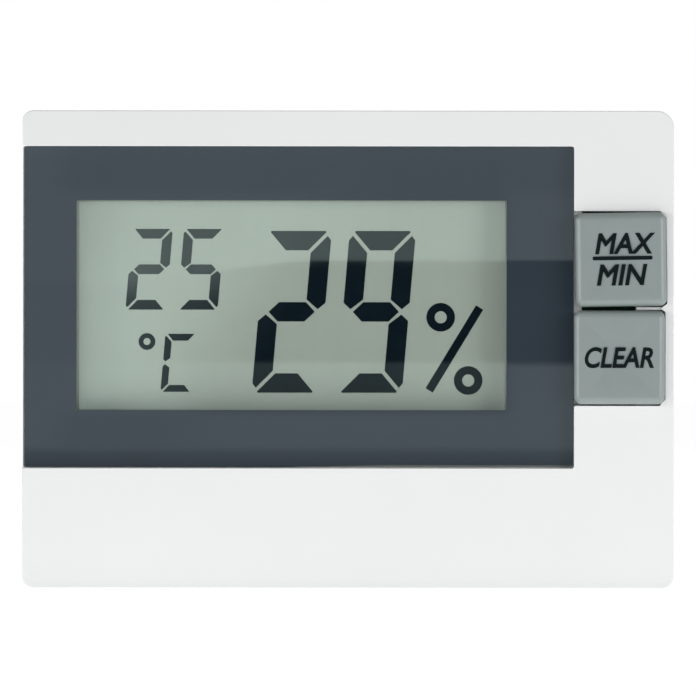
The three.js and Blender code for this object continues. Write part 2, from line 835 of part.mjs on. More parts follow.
// Keys: a cap with rounded edges, and a stem with hooks that hold it behind the guide
function key(z0) {
  const cap = {
    x0: bay.x0 + keyGap,
    x1: bay.x1 - keyGap,
    z0,
    z1: z0 + keyHeight,
  };
  const middle = z0 + keyHeight / 2;
  const stem = {
    x0: well.x0 + keyStemGap,
    x1: well.x1 - keyStemGap,
    z0: middle - keyStemHeight / 2,
    z1: middle + keyStemHeight / 2,
  };
  const hooks = { ...stem, x0: well.x0 - keyHook, x1: well.x1 + keyHook };
  const cover = plate(
    roundedOutline(cap, keyCornerRadius),
    front - keyProud,
    keyCapBack + keyEdgeRadius,
    keyEdgeRadius,
  ).subtract(block(grown(cap, through), keyCapBack, keyCapBack + keyEdgeRadius + through));
  return joined([
    cover,
    block(stem, keyCapBack - keyEdgeRadius, keyStemBack),
    block(hooks, guideBack + keyHookGap, keyStemBack),
  ]);
}

function addKey(name, z0) {
  const place = { x: keyCenterX, z: z0 + keyHeight / 2 };
  const height = boardFront - domeTop;
  const cavity = height - domeWall;
  addPart(`${name}_button`, key(z0), 'greyKey');
  addPart(`${name}_dome`, turned([
    [0, cavity],
    [domeTopRadius - domeWall, cavity],
    [domeSkirtRadius - domeWall, 0],
    [domeBaseRadius, 0],
    [domeBaseRadius, domeWall],
    [domeSkirtRadius, domeWall],
    [domeTopRadius, height],
    [0, height],
  ], place, boardFront, false), 'clearRubber');
  addPart(`${name}_pill`, rod(place, pillRadius, pillTop, pillTop + pillThickness), 'blackRubber');
  addPart(`${name}_pad`, rod(place, padRadius, boardFront - padThickness, boardFront), 'blackRubber');
}

// Board
function circuitBoard() {
  const sheetFront = boardFront - through;
  const sheetBack = boardBack + through;
  return cut(block(board, boardFront, boardBack), [
    ...boardScrewPlaces.map((place) => rod(
      place,
      boardScrewRadius + screwGap,
      sheetFront,
      sheetBack,
      screwSides,
    )),
    ...caseBossPlaces.map((place) => block(
      grown(cornerArea(place), caseBossRadius + partGap),
      sheetFront,
      sheetBack,
    )),
  ]);
}

function chipCover() {
  const steps = 5;
  const dome = Array.from({ length: steps + 1 }, (_, i) => {
    const angle = (i / steps) * (Math.PI / 2);
    return [chipCoverRadius * Math.cos(angle), chipCoverHeight * Math.sin(angle)];
  });
  dome[steps][0] = 0;
  return turned([[0, 0], ...dome], chipCoverPlace, boardBack);
}

function centredArea(place, width, height) {
  return {
    x0: place.x - width / 2,
    x1: place.x + width / 2,
    z0: place.z - height / 2,
    z1: place.z + height / 2,
  };
}

function humiditySensor() {
  const slots = Array.from({ length: sensorSlots }, (_, i) => {
    const pitch = sensorHeight / (sensorSlots + 1);
    const place = { x: sensorPlace.x, z: sensorPlace.z - sensorHeight / 2 + pitch * (i + 1) };
    const slot = centredArea(place, sensorWidth * 0.7, pitch / 2);
    return block(slot, boardBack + sensorDepth - sensorSlotDepth, boardBack + sensorDepth + through);
  });
  const body = centredArea(sensorPlace, sensorWidth, sensorHeight);
  return cut(block(body, boardBack, boardBack + sensorDepth), slots);
}

function thermistor() {
  const bead = new THREE.SphereGeometry(beadRadius, 16, 10);
  bead.translate(beadPlace.x, boardBack + beadStandoff, beadPlace.z);
  const leads = [-1, 1].map((side) => {
    const place = { x: beadPlace.x + (side * leadSpacing) / 2, z: beadPlace.z };
    return block(centredArea(place, leadWidth, leadWidth), boardBack, boardBack + beadStandoff);
  });
  return joined([solid(bead), ...leads]);
}

// Cell: the can, the seal inside its rim, the cap, and the filling between them
function addCell() {
  const place = { x: cellX, z: cellPlaceZ };
  const rim = cellCapRise;
  const sealInside = cellCapRadius + cellSealGap;
  const sealOutside = cellRadius - cellWall - cellSealGap;
  const lipInside = (sealInside + sealOutside) / 2;
  addPart('cell_can', turned([
    [0, cellHeight - cellWall],
    [cellRadius - cellWall, cellHeight - cellWall],
    [cellRadius - cellWall, rim + cellWall],
    [lipInside, rim + cellWall],
    [lipInside, rim],
    [cellRadius - cellWall, rim],
    [cellRadius, rim + cellWall],
    [cellRadius, cellHeight - cellWall],
    [cellRadius - cellWall, cellHeight],
    [0, cellHeight],
  ], place, cellFront, true, fineSides), 'steel');
  addPart('cell_seal', turned([
    [sealInside, rim + cellWall + cellSealGap],
    [sealOutside, rim + cellWall + cellSealGap],
    [sealOutside, cellHeight - 2 * cellWall],
    [sealInside, cellHeight - 2 * cellWall],
    [sealInside, rim + cellWall + cellSealGap],
  ], place, cellFront, true, fineSides), 'nylon');
  addPart('cell_cap', turned([
    [0, 0],
    [cellCapRadius - cellWall, 0],
    [cellCapRadius, cellWall],
    [cellCapRadius, cellHeight - 2 * cellWall],
    [cellCapRadius - cellWall, cellHeight - 2 * cellWall],
    [cellCapRadius - cellWall, cellWall],
    [0, cellWall],
  ], place, cellFront, true, fineSides), 'steel');
  addPart('cell_filling', rod(
    place,
    cellCapRadius - cellWall - cellSealGap,
    cellFront + cellWall,
    cellBack - cellWall,
    fineSides,
  ), 'cellPaste');
}

function negativeReach() {
  return cellRadius - contactThickness;
}

function positiveReach() {
  return cellRadius + contactTouchGap + contactThickness / 2;
}

// The negative contact folds back over itself and presses on the middle of the cap
function negativeContact() {
  const bottom = wellFloorBack + contactThickness / 2;
  const path = [
    [-negativeReach(), boardBack + contactBoardGap],
    [-negativeReach(), bottom],
    [cellCapRadius / 2, bottom],
    [cellCapRadius / 2 + contactThickness, bottom + contactThickness],
    [0, cellFront - contactThickness / 2 - contactTouchGap],
  ];
  return bentStrip(path, contactWidth, { x: cellX, z: cellPlaceZ }, false);
}

// The positive contact stands beside the can
function positiveContact() {
  const path = [
    [positiveReach(), boardBack + contactBoardGap],
    [positiveReach(), cellBack - backWall],
  ];
  return bentStrip(path, contactWidth, { x: cellX, z: cellPlaceZ }, true);
}

function batteryDoor() {
  const railed = { ...grown(door, doorRail), x0: door.x0, x1: right };
  const grips = Array.from({ length: gripCount }, (_, i) => {
    const x = door.x1 - backEdgeRadius - (i + 1) * gripPitch;
    return block(
      centredArea({ x, z: cellPlaceZ }, gripWidth, gripLength),
      back - gripDepth,
      back + through,
    );
  });
  const slab = joined([
    block(door, doorInside, back),
    block(railed, doorInside, doorInside + doorRailThickness),
  ]);
  const outline = plate(roundedOutline(caseArea, cornerRadius), front, back, backEdgeRadius);
  return cut(slab.intersect(outline), grips);
}

// Stand leg: a plate with a hollowed inside, a heel that stops it when open, and two hinge pins
function standLeg() {
  const x0 = -legWidth / 2;
  const x1 = legWidth / 2;
  const plank = block({ x0, x1, z0: legFootInset, z1: hingeHeight + legHeel }, legFront, legBack);
  const pocket = {
    x0: x0 + legFrame,
    x1: x1 - legFrame,
    z0: legFootInset + legFrame,
    z1: hingeHeight - legFrame,
  };
  const grips = Array.from({ length: gripCount }, (_, i) => {
    const z = legFootInset + (i + 1) * gripPitch;
    return block(
      centredArea({ x: 0, z }, gripLength, gripWidth),
      legBack - gripDepth,
      legBack + through,
    );
  });
  const pins = crossRod(x0 - hingePinLength, x1 + hingePinLength, hingeY, hingeHeight, hingePinRadius);
  return joined([
    cut(plank, [block(pocket, legFront - through, legFront + legPocketDepth), ...grips]),
    pins,
  ]);
}

// A pan-head screw that points forwards, with a cross-shaped drive
function screw(place, seatY, radius, length, headRadius, headHeight) {
  const body = turned([
    [0, -length],
    [radius * 0.4, -length],
    [radius, radius - length],
    [radius, 0],
    [headRadius, 0],
    [headRadius, headHeight * 0.5],
    [headRadius * 0.75, headHeight * 0.9],
    [0, headHeight],
  ], place, seatY, true, screwSides);
  const slotLength = headRadius * 1.1;
  const slots = [
    centredArea(place, slotLength, driveSlotWidth),
    centredArea(place, driveSlotWidth, slotLength),
  ];
  const slotFloor = seatY + headHeight * 0.4;
  return cut(body, slots.map((slot) => block(slot, slotFloor, seatY + headHeight + through)));
}

// The assembly, from the front to the back

addPart('front_shell', frontShell(), 'whiteAbs');
addPart('display_lens', lensPlate(), 'clearAcrylic');
addPart('lens_mask', borderPrint(), 'printedBorder');
addPart('lens_tape', lensTape(), 'tape');
addPart('front_polariser', block(filmArea, bedBack, polariserBack), 'film');
addPart('lcd_front_glass', block(frontGlass, polariserBack, frontGlassBack), 'glass');
addPart('liquid_crystal_layer', crystalLayer(), 'crystal');
addPart('lcd_seal', crystalSeal(), 'seal');
addPart('lcd_rear_glass', block(rearGlass, crystalBack, rearGlassBack), 'glass');
addPart('rear_reflector', block(filmArea, rearGlassBack, reflectorBack), 'reflector');
addPart('lcd_frame', glassFrame(), 'whiteAbs');
addPart('zebra_strip', block(zebra, frontGlassBack, boardFront), 'blackRubber');

addKey('max_min', keyBottoms.max_min);
addKey('clear', keyBottoms.clear);

addPart('circuit_board', circuitBoard(), 'board');
addPart('chip_cover', chipCover(), 'epoxy');
addPart('humidity_sensor', humiditySensor(), 'sensorWhite');
addPart('thermistor', thermistor(), 'epoxy');
capacitorOffsets.forEach((offset, i) => {
  const area = centredArea(onBoard(offset), smallPartLength, smallPartWidth);
  addPart(`capacitor_${i + 1}`, block(area, boardBack, boardBack + capacitorDepth), 'ceramic');
});
resistorOffsets.forEach((offset, i) => {
  const area = centredArea(onBoard(offset), smallPartWidth, smallPartLength);
  addPart(`resistor_${i + 1}`, block(area, boardBack, boardBack + resistorDepth), 'epoxy');
});
boardScrewPlaces.forEach((place, i) => {
  addPart(`board_screw_${i + 1}`, screw(
    place,
    boardBack,
    boardScrewRadius,
    boardScrewLength,
    boardScrewHeadRadius,
    boardScrewHeadHeight,
  ), 'steel');
});

addPart('negative_contact', negativeContact(), 'steel');
addPart('positive_contact', positiveContact(), 'steel');
addCell();
addPart('rear_shell', rearShell(), 'whiteAbs');
addPart('battery_door', batteryDoor(), 'whiteAbs');
addPart('stand_leg', standLeg(), 'whiteAbs');
caseBossPlaces.forEach((place, i) => {
  addPart(`case_screw_${i + 1}`, screw(
    place,
    back - caseScrewSink,
    caseScrewRadius,
    caseScrewLength,
    caseScrewHeadRadius,
    caseScrewHeadHeight,
  ), 'steel');
});

export default group;
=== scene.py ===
import json
import math

import bmesh
import bpy
from mathutils import Matrix, Vector


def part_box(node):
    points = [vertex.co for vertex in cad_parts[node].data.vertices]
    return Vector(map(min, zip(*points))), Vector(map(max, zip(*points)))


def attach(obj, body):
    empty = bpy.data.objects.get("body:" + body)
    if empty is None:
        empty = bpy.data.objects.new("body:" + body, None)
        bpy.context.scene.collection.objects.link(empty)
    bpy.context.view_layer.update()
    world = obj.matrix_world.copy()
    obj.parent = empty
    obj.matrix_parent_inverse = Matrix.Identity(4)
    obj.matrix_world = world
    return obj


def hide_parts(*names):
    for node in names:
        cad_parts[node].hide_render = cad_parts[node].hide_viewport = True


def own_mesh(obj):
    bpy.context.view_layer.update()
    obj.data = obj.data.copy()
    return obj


bl_info = {
    "name": "Digital thermo-hygrometer",
    "version": (1, 0, 0),
    "blender": (4, 5, 0),
    "location": "3D View > Sidebar > Thermo-hygrometer",
    "description": "Models and finishes a small digital thermo-hygrometer around its packed solids",
    "category": "Add Mesh",
}

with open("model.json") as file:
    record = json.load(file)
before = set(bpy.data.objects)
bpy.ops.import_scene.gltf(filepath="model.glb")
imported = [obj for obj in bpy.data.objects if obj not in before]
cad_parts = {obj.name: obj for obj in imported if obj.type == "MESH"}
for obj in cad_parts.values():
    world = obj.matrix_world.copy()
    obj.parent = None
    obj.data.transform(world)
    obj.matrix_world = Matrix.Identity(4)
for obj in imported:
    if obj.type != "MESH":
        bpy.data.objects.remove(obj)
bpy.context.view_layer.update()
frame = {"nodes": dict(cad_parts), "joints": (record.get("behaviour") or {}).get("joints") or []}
MM = 0.001


# Colours and sizes

def linear(colour):
    """An sRGB hex colour as linear red, green, blue and alpha."""
    parts = [int(colour[i:i + 2], 16) / 255 for i in (1, 3, 5)]
    curve = [c / 12.92 if c <= 0.04045 else ((c + 0.055) / 1.055) ** 2.4 for c in parts]
    return (*curve, 1.0)


def length(name, description, millimetres):
    """A length that the user can change, given in millimetres."""
    return bpy.props.FloatProperty(
        name=name, description=description, default=millimetres * MM, min=0.0,
        unit="LENGTH", subtype="DISTANCE", precision=5,
    )


def angle(name, description, degrees):
    """An angle that the user can change, given in degrees."""
    return bpy.props.FloatProperty(
        name=name, description=description, default=math.radians(degrees), subtype="ANGLE",
    )


def colour(name, description, value):
    """A colour that the user can change, given as sRGB hex."""
    return bpy.props.FloatVectorProperty(
        name=name, description=description, default=linear(value), size=4,
        subtype="COLOR", min=0.0, max=1.0,
    )


def number(name, description, value):
    """A plain number that the user can change."""
    return bpy.props.FloatProperty(name=name, description=description, default=value, min=0.0)


class ShapeSettings(bpy.types.PropertyGroup):
    """Sizes of the moulded and cut pieces."""
    left_corner: length("Top left corner", "Radius of the case's upper left corner", 1.0)
    right_corner: length("Top right corner", "Radius of the case's upper right corner", 1.5)
    low_corner: length("Low corners", "Radius of the two corners at the case's foot", 1.05)
    front_edge: length("Front edge", "Radius along the front edge of the case", 0.09)
    back_edge: length("Back edge", "Radius along the back edge of the case", 1.0)
    wall: length("Wall", "Thickness of the case's sides", 1.4)
    face_wall: length("Face wall", "Thickness of the case's front and back", 1.5)
    soft_edge: length("Opening edge", "Radius of the moulded edges round the openings", 0.05)
    slip: length("Seat gap", "Gap between a piece and the opening that it sits in", 0.12)
    lens_corner: length("Lens corner", "Radius of the lens's corners", 0.2)
    lens_edge: length("Lens edge", "Radius polished along the lens's front edge", 0.08)
    border_foot: length("Border foot", "Gap from the print to the lens's foot at the right", 0.2)
    window: length("Window margin", "How far the case's window reaches past the display", 0.6)
    window_corner: length("Window corner", "Radius of the window's corners", 1.0)
    key_gap: length("Key gap", "Gap between a key and its bay", 0.13)
    key_corner: length("Key corner", "Radius of a key's corners", 0.68)
    key_crown: length("Key crown width", "Width of the soft band round a key's face", 0.64)
    key_shift: length("Key shift", "How far the lower key sits left of the upper one", 0.12)
    key_turn: angle("Key turn", "How far the upper key sits turned in its bay", 0.9)
    key_drop: length("Key crown drop", "How far that band falls away", 0.72)
    key_dish: length("Key dish", "How far the middle of a key's face is hollowed", 0.1)
    grip_width: length("Groove width", "Width of the grip grooves at the back", 0.5)
    grip_pitch: length("Groove pitch", "Distance from one grip groove to the next", 1.3)
    grip_depth: length("Groove depth", "Depth of the grip grooves", 0.3)


class FinishSettings(bpy.types.PropertyGroup):
    """Colours of the finishes."""
    case_white: colour("Case", "White of the moulded case", "#E4E5E5")
    key_grey: colour("Keys", "Grey of the keys", "#86918F")
    label_ink: colour("Labels", "Ink of the words on the keys", "#10191A")
    border_ink: colour("Border", "Ink printed behind the lens", "#333C44")
    display_pale: colour("Display", "Pale ground of the display", "#B3B7B3")
    display_dark: colour("Digits", "Lit segments of the display", "#131E27")


class StudioSettings(bpy.types.PropertyGroup):
    """Camera and light."""
    view_width: length("View width", "Width seen at the front of the case", 61.92)
    camera_height: length("Camera height", "Height of the camera above the floor", 21.38)
    camera_distance: length("Camera distance", "From the camera to the case's front", 442.5)
    camera_roll: angle("Camera roll", "How far the camera is tilted to one side", -0.06)
    sky: number("Sky", "Strength of the even light from all round", 0.17)
    floor_glow: number("Floor glow", "How bright the floor lights the case from below", 1.5)
    left_lamp: number("Left lamp", "Power of the soft lamp low at the left, in watts", 0.56)
    right_lamp: number("Right lamp", "Power of the soft lamp low at the right, in watts", 0.43)
    back_lamp: number("Back lamp", "Power of the soft lamp behind the case, in watts", 0.5)


def grown(area, by):
    """A flat area (left, right, bottom, top) made larger on every side."""
    return (area[0] - by, area[1] + by, area[2] - by, area[3] + by)


def around(place, width, height):
    """The flat area of a given size round a place."""
    x, z = place
    return (x - width / 2, x + width / 2, z - height / 2, z + height / 2)


def centre(area):
    """The middle of a flat area."""
    return ((area[0] + area[1]) / 2, (area[2] + area[3]) / 2)


def area_of(node):
    """The flat area that a solid covers, seen from the front."""
    low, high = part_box(node)
    return (low.x, high.x, low.z, high.z)


def frame_joint(name):
    """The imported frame's row for a joint."""
    return next(joint for joint in frame["joints"] if joint["name"] == name)


CASE = area_of("front_shell")
LENS = area_of("display_lens")
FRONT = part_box("front_shell")[0].y
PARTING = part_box("front_shell")[1].y
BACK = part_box("rear_shell")[1].y
SEAT_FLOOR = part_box("lens_tape")[1].y
HINGE = frame_joint("stand_hinge")["pos_m"]
KEY_NODES = {"max_min": "max_min_button", "clear": "clear_button"}

VIEW = (-24.2 * MM, 14.13 * MM, 15.83 * MM, 34.53 * MM)  # what the border leaves free
WELL = (20.85 * MM, 25.66 * MM)  # from left to right, where the keys' stems pass
RAIL = 0.6 * MM  # width and depth of the door's rails
PIN = 1.2 * MM  # how far a hinge pin stands out of the leg's side
SCREW_SEAT = 1.1 * MM  # depth of a screw's seat below the highest point of its head
SLANT = 0.086  # lean of the digits
OVERRUN = MM  # how far a cutter reaches past what it cuts
HAIR = 0.01 * MM  # sets two faces apart, so that they don't coincide
SAME = 1e-6  # lengths that differ by less are the same
EXACT = 1e-7  # lengths below which corners merge and cuts count as met


# Modelling by hand, one step at a time

def select_only(*pieces):
    """Leaves edit mode and selects just these objects, with the first one active."""
    if bpy.context.object and bpy.context.object.mode != "OBJECT":
        bpy.ops.object.mode_set(mode="OBJECT")
    bpy.ops.object.select_all(action="DESELECT")
    for piece in pieces:
        piece.select_set(True)
    if pieces:
        bpy.context.view_layer.objects.active = pieces[0]


def edit(piece):
    """Opens a piece for editing, all selected."""
    select_only(piece)
    bpy.ops.object.mode_set(mode="EDIT")
    take_all()


def take_all():
    """Selects the whole open mesh."""
    bpy.ops.mesh.select_all(action="SELECT")


def pick(kind, test):
    """Selects the verts, edges or faces of the open mesh that pass the test."""
    mesh = bpy.context.object.data
    bpy.ops.mesh.select_mode(type=kind[:-1].upper())
    bpy.ops.mesh.select_all(action="DESELECT")
    shape = bmesh.from_edit_mesh(mesh)
    for part in getattr(shape, kind):
        part.select_set(bool(test(part)))
    shape.select_flush_mode()
    bmesh.update_edit_mesh(mesh)


def near(a, b):
    """True for two lengths that are the same."""
    return abs(a - b) < SAME


def push(along, across=0):
    """Extrudes what is selected, towards the back or to the right."""
    bpy.ops.mesh.extrude_region_move(TRANSFORM_OT_translate={"value": (across, along, 0)})


def close_mesh():
    """Merges doubles, turns every face outwards and leaves edit mode."""
    take_all()
    bpy.ops.mesh.remove_doubles(threshold=EXACT)
    bpy.ops.mesh.normals_make_consistent(inside=False)
    bpy.ops.object.mode_set(mode="OBJECT")


def open_new(name, scale=(1, 1, 1)):
    """Names the primitive that was just added, puts its place in its mesh and opens it."""
    piece = bpy.context.object
    piece.name = piece.data.name = name
    piece.scale = scale
    bpy.ops.object.transform_apply(location=True, rotation=True, scale=True)
    edit(piece)
    return piece


def add_plane(name, area, y, towards):
    """A flat rectangle at depth y that faces the back (1) or the front (-1), open for editing."""
    select_only()
    x, z = centre(area)
    turn = (-towards * math.pi / 2, 0, 0)
    bpy.ops.mesh.primitive_plane_add(size=1, location=(x, y, z), rotation=turn)
    return open_new(name, (area[1] - area[0], area[3] - area[2], 1))


def add_disc(name, place, radius, y, sides=48):
    """A flat disc at depth y, open for editing."""
    select_only()
    bpy.ops.mesh.primitive_circle_add(
        vertices=sides, radius=radius, fill_type="NGON",
        location=(place[0], y, place[1]), rotation=(math.pi / 2, 0, 0),
    )
    return open_new(name)


def add_hinge_rod(name, radius, reach):
    """A round rod on the hinge's axis, open for editing."""
    select_only()
    bpy.ops.mesh.primitive_cylinder_add(
        vertices=32, radius=radius, depth=reach, location=HINGE, rotation=(0, math.pi / 2, 0),
    )
    return open_new(name)


def pick_cap(y):
    """Selects the flat face at depth y."""
    pick("faces", lambda face: near(face.calc_center_median().y, y) and abs(face.normal.y) > 0.9)


def is_upright(edge):
    """True for an edge that runs from front to back."""
    a, b = (v.co for v in edge.verts)
    return near(a.x, b.x) and near(a.z, b.z)


def round_uprights(radius, steps, test=lambda place: True):
    """Rounds the edges that run from front to back, where their place passes the test."""
    pick("edges", lambda edge: is_upright(edge) and test(edge.verts[0].co))
    bpy.ops.mesh.bevel(offset=radius, segments=steps, profile=0.5, clamp_overlap=False)


def roll_in(width, height, steps, towards, hollow=False):
    """Insets the selected face step by step, so its rim falls away along a quarter ellipse.

    A hollow rim starts flat, as that of a rounded opening does.
    """
    turns = [math.pi / 2 * i / steps for i in range(steps + 1)]
    for before, after in zip(turns, turns[1:]):
        inward = math.cos(before) - math.cos(after)
        along = math.sin(after) - math.sin(before)
        if hollow:
            inward, along = along, inward
        bpy.ops.mesh.inset(thickness=width * inward, depth=0)
        bpy.ops.transform.translate(value=(0, towards * (height * along), 0))


def slab(name, area, start, end, corner, rim, steps, corner_steps=8, drop=None):
    """A plate from depth start to end, with rounded corners and a rounded rim at its end.

    The corner is one radius, or for each corner its radius, its steps and a test of its place.
    The rim falls away as far as it is wide, or by the drop.
    """
    towards = 1 if end > start else -1
    drop = drop or rim
    piece = add_plane(name, area, start, towards)
    push(end - towards * drop - start)
    for rounding in corner if isinstance(corner, tuple) else [(corner, corner_steps)]:
        round_uprights(*rounding)
    pick_cap(end - towards * drop)
    roll_in(rim, drop, steps, towards)
    close_mesh()
    return piece


def case_half(name, shape, end, rim, steps):
    """One half of the case as a full body, from the parting line to its outer face."""
    half_way = centre(CASE)[1]
    corners = (
        (shape.left_corner, 12, lambda place: place.z > half_way and place.x < 0),
        (shape.right_corner, 12, lambda place: place.z > half_way and place.x > 0),
        (shape.low_corner, 12, lambda place: near(place.z, CASE[2])),
    )
    return slab(name, CASE, PARTING, end, corners, rim, steps)


def block(name, area, start, end):
    """A plain block, to be joined to another or cut from it."""
    piece = add_plane(name, area, start, 1 if end > start else -1)
    push(end - start)
    close_mesh()
    return piece


def sink(surface, floor, soft):
    """Takes the open cutter through the surface with a soft edge, and on to the floor."""
    towards = 1 if floor > surface else -1
    pick_cap(surface)
    roll_in(soft, soft, 3, towards, hollow=True)
    push(floor - surface - towards * soft)
    close_mesh()


def opening(name, area, surface, floor, corner, soft, corner_steps=6):
    """A cutter for an opening with soft edges, from outside the surface to the floor."""
    towards = 1 if floor > surface else -1
    piece = add_plane(name, grown(area, soft), surface - towards * OVERRUN, towards)
    push(towards * OVERRUN)
    round_uprights(corner + soft, corner_steps)
    sink(surface, floor, soft)
    return piece


def round_opening(name, place, radius, surface, floor, soft):
    """A cutter for a round hole with a soft edge."""
    towards = 1 if floor > surface else -1
    piece = add_disc(name, place, radius + soft, surface - towards * OVERRUN)
    push(towards * OVERRUN)
    sink(surface, floor, soft)
    return piece


def combine(piece, tools, how):
    """Cuts the tools from the piece, joins them to it or keeps what they share with it."""
    for tool in tools:
        select_only(piece)
        change = piece.modifiers.new(how, "BOOLEAN")
        change.operation = how
        change.solver = "EXACT"
        change.object = tool
        bpy.ops.object.modifier_apply(modifier=change.name)
        bpy.data.objects.remove(tool)
    return piece


def duplicate(source, name):
    """A copy of an object with its own mesh, and without a parent, marks or materials."""
    piece = source.copy()
    piece.data = source.data.copy()
    piece.name = piece.data.name = name
    piece.parent = None
    for key in list(piece.keys()):
        del piece[key]
    piece.data.materials.clear()
    bpy.context.scene.collection.objects.link(piece)
    return piece


def copy_of(node, name):
    """A merged copy of a solid, to work from."""
    piece = duplicate(frame["nodes"][node], name)
    edit(piece)
    close_mesh()
    return piece


def smooth(piece, steepest=32):
    """Merges flat faces, then shades all but the steep edges smooth and keeps large faces flat."""
    edit(piece)
    bpy.ops.mesh.remove_doubles(threshold=2 * EXACT)
    bpy.ops.mesh.dissolve_degenerate(threshold=SAME)
    bpy.ops.mesh.dissolve_limited(angle_limit=math.radians(0.2))
    bpy.ops.mesh.faces_shade_smooth()
    pick("edges", lambda edge: edge.calc_face_angle(0) > math.radians(steepest))
    bpy.ops.mesh.mark_sharp()
    bpy.ops.object.mode_set(mode="OBJECT")
    weights = piece.modifiers.new("Flat faces", "WEIGHTED_NORMAL")
    weights.keep_sharp = True
    bpy.ops.object.modifier_apply(modifier=weights.name)


def join(pieces, name):
    """Joins loose meshes into one piece."""
    select_only(*pieces)
    bpy.ops.object.join()
    pieces[0].name = pieces[0].data.name = name
    return pieces[0]


def dress(piece, material, body, slot, *nodes):
    """Gives a finished piece its material and body, and hides the solids that it stands for. The
    slot is not used.
    """
    piece.data.materials.clear()
    piece.data.materials.append(material)
    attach(piece, body)
    if nodes:
        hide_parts(*nodes)


# Materials

def add(tree, node, settings=None, links=None):
    """Adds a node, or takes one that is there, sets its sockets and properties and links it.

    A new node is given by its kind, and a node that is given as a link stands for its first output.
    """
    if isinstance(node, str):
        node = tree.nodes.new("ShaderNode" + node)
    for key, value in (settings or {}).items():
        if isinstance(key, int) or key in node.inputs:
            node.inputs[key].default_value = value
        else:
            setattr(node, key, value)
    for key, source in (links or {}).items():
        source = source.outputs[0] if isinstance(source, bpy.types.Node) else source
        tree.links.new(source, node.inputs[key])
    return node


def start_material(name):
    """A new material, its nodes and its shader."""
    material = bpy.data.materials.new(name)
    material.use_nodes = True
    tree = material.node_tree
    return material, tree, tree.nodes["Principled BSDF"]


def patches(tree, size_mm, detail=2.0, stretch=(1, 1, 1)):
    """Uneven patches of about size_mm on the object, drawn out along an axis by the stretch."""
    place = add(tree, "TexCoord").outputs["Object"]
    drawn = add(tree, "Mapping", {"Scale": stretch}, {"Vector": place})
    settings = {"Scale": 1 / (size_mm * MM), "Detail": detail}
    return add(tree, "TexNoise", settings, {"Vector": drawn})


PATCH_RANGE = {"From Min": 0.3, "From Max": 0.7}  # nearly all of the patches' values


def clouded(tree, base, shade, cloud):
    """The base colour, with a slightly darker shade where the cloud is dense."""
    darker = (*[part * shade for part in base[:3]], 1.0)
    dense = add(tree, "MapRange", PATCH_RANGE, {"Value": cloud})
    colours = {"data_type": "RGBA", 6: tuple(base), 7: darker}
    return add(tree, "Mix", colours, {0: dense}).outputs[2]


def finish(tree, shader, tint, uneven, roughness, relief=None, relief_mm=0.0, **even):
    """Gives a shader its colour, its uneven gloss, its relief and what is even all over."""
    limits = {**PATCH_RANGE, "To Min": roughness[0], "To Max": roughness[1]}
    gloss = add(tree, "MapRange", limits, {"Value": uneven})
    links = {"Base Color": tint, "Roughness": gloss}
    if relief_mm:
        size = {"Distance": relief_mm * MM, "Strength": 1.0}
        links["Normal"] = add(tree, "Bump", size, {"Height": relief})
    add(tree, shader, even, links)


def moulded(name, base, roughness, cloud_mm, grain_mm, relief_mm, shade, ior=1.5):
    """A moulded or cured material: a faint cloud in its colour, a fine grain and uneven gloss."""
    material, tree, shader = start_material(name)
    tint = clouded(tree, base, shade, patches(tree, cloud_mm, 3.0))
    limits = (roughness * 0.93, roughness * 1.07)
    finish(tree, shader, tint, patches(tree, cloud_mm / 3), limits,
           patches(tree, grain_mm), relief_mm, IOR=ior)
    return material


def plated(name, base, roughness, brush_mm, stretch=(1, 1, 1)):
    """A plated or bright metal with fine marks drawn out one way."""
    material, tree, shader = start_material(name)
    marks = patches(tree, brush_mm, 3.0, stretch)
    tint = clouded(tree, base, 0.92, marks)
    limits = (roughness * 0.8, roughness * 1.25)
    finish(tree, shader, tint, marks, limits, marks, 0.001, Metallic=1.0)
    return material


def clear_sheet(name, tint):
    """A clear sheet that lets light straight through, with a trace of colour of its own."""
    material, tree, shader = start_material(name)
    tree.nodes.remove(shader)
    body = clouded(tree, linear(tint), 0.995, patches(tree, 6.0))
    through = add(tree, "BsdfTransparent", None, {"Color": body})
    add(tree, tree.nodes["Material Output"], None, {"Surface": through})
    return material


def behind_polish(material, sheen, ior=1.5):
    """Gives a surface the mirror image of the polished sheet that lies on it."""
    tree = material.node_tree
    add(tree, tree.nodes["Principled BSDF"], {
        "Specular IOR Level": sheen, "IOR": ior,
        "Coat Weight": 1.0, "Coat IOR": 1.52, "Coat Roughness": 0.0,
    })
    return material


def case_plastic():
    # Injection-moulded white ABS from a finely eroded tool: satin, with an almost even white
    base = bpy.context.scene.hygrometer_finish.case_white
    return moulded("white_abs_satin", base, 0.42, 14.0, 0.12, 0.0012, 0.985)


def key_plastic():
    # Moulded grey ABS keys, a little glossier than the case
    base = bpy.context.scene.hygrometer_finish.key_grey
    return moulded("grey_abs_key", base, 0.38, 3.0, 0.1, 0.0012, 0.95, 1.54)


def screen_ink(name, base, sheen):
    # Screen-printed ink: even and matte, with the faint mesh texture of the screen
    material = moulded(name, base, 0.6, 4.0, 0.08, 0.001, 0.95)
    shader = material.node_tree.nodes["Principled BSDF"]
    add(material.node_tree, shader, {"Specular IOR Level": sheen})
    return material


def display_ground():
    # The reflective display film behind the crystal: grey-green with a faint brushed streak, seen
    # through glass and lens, whose two polished faces mirror the room
    base = bpy.context.scene.hygrometer_finish.display_pale
    material, tree, shader = start_material("display_film_grey_green")
    tint = clouded(tree, base, 0.975, patches(tree, 0.5, 2.0, (1, 1, 0.03)))
    finish(tree, shader, tint, patches(tree, 1.0), (0.015, 0.03))
    return behind_polish(material, 1.0, 1.6)


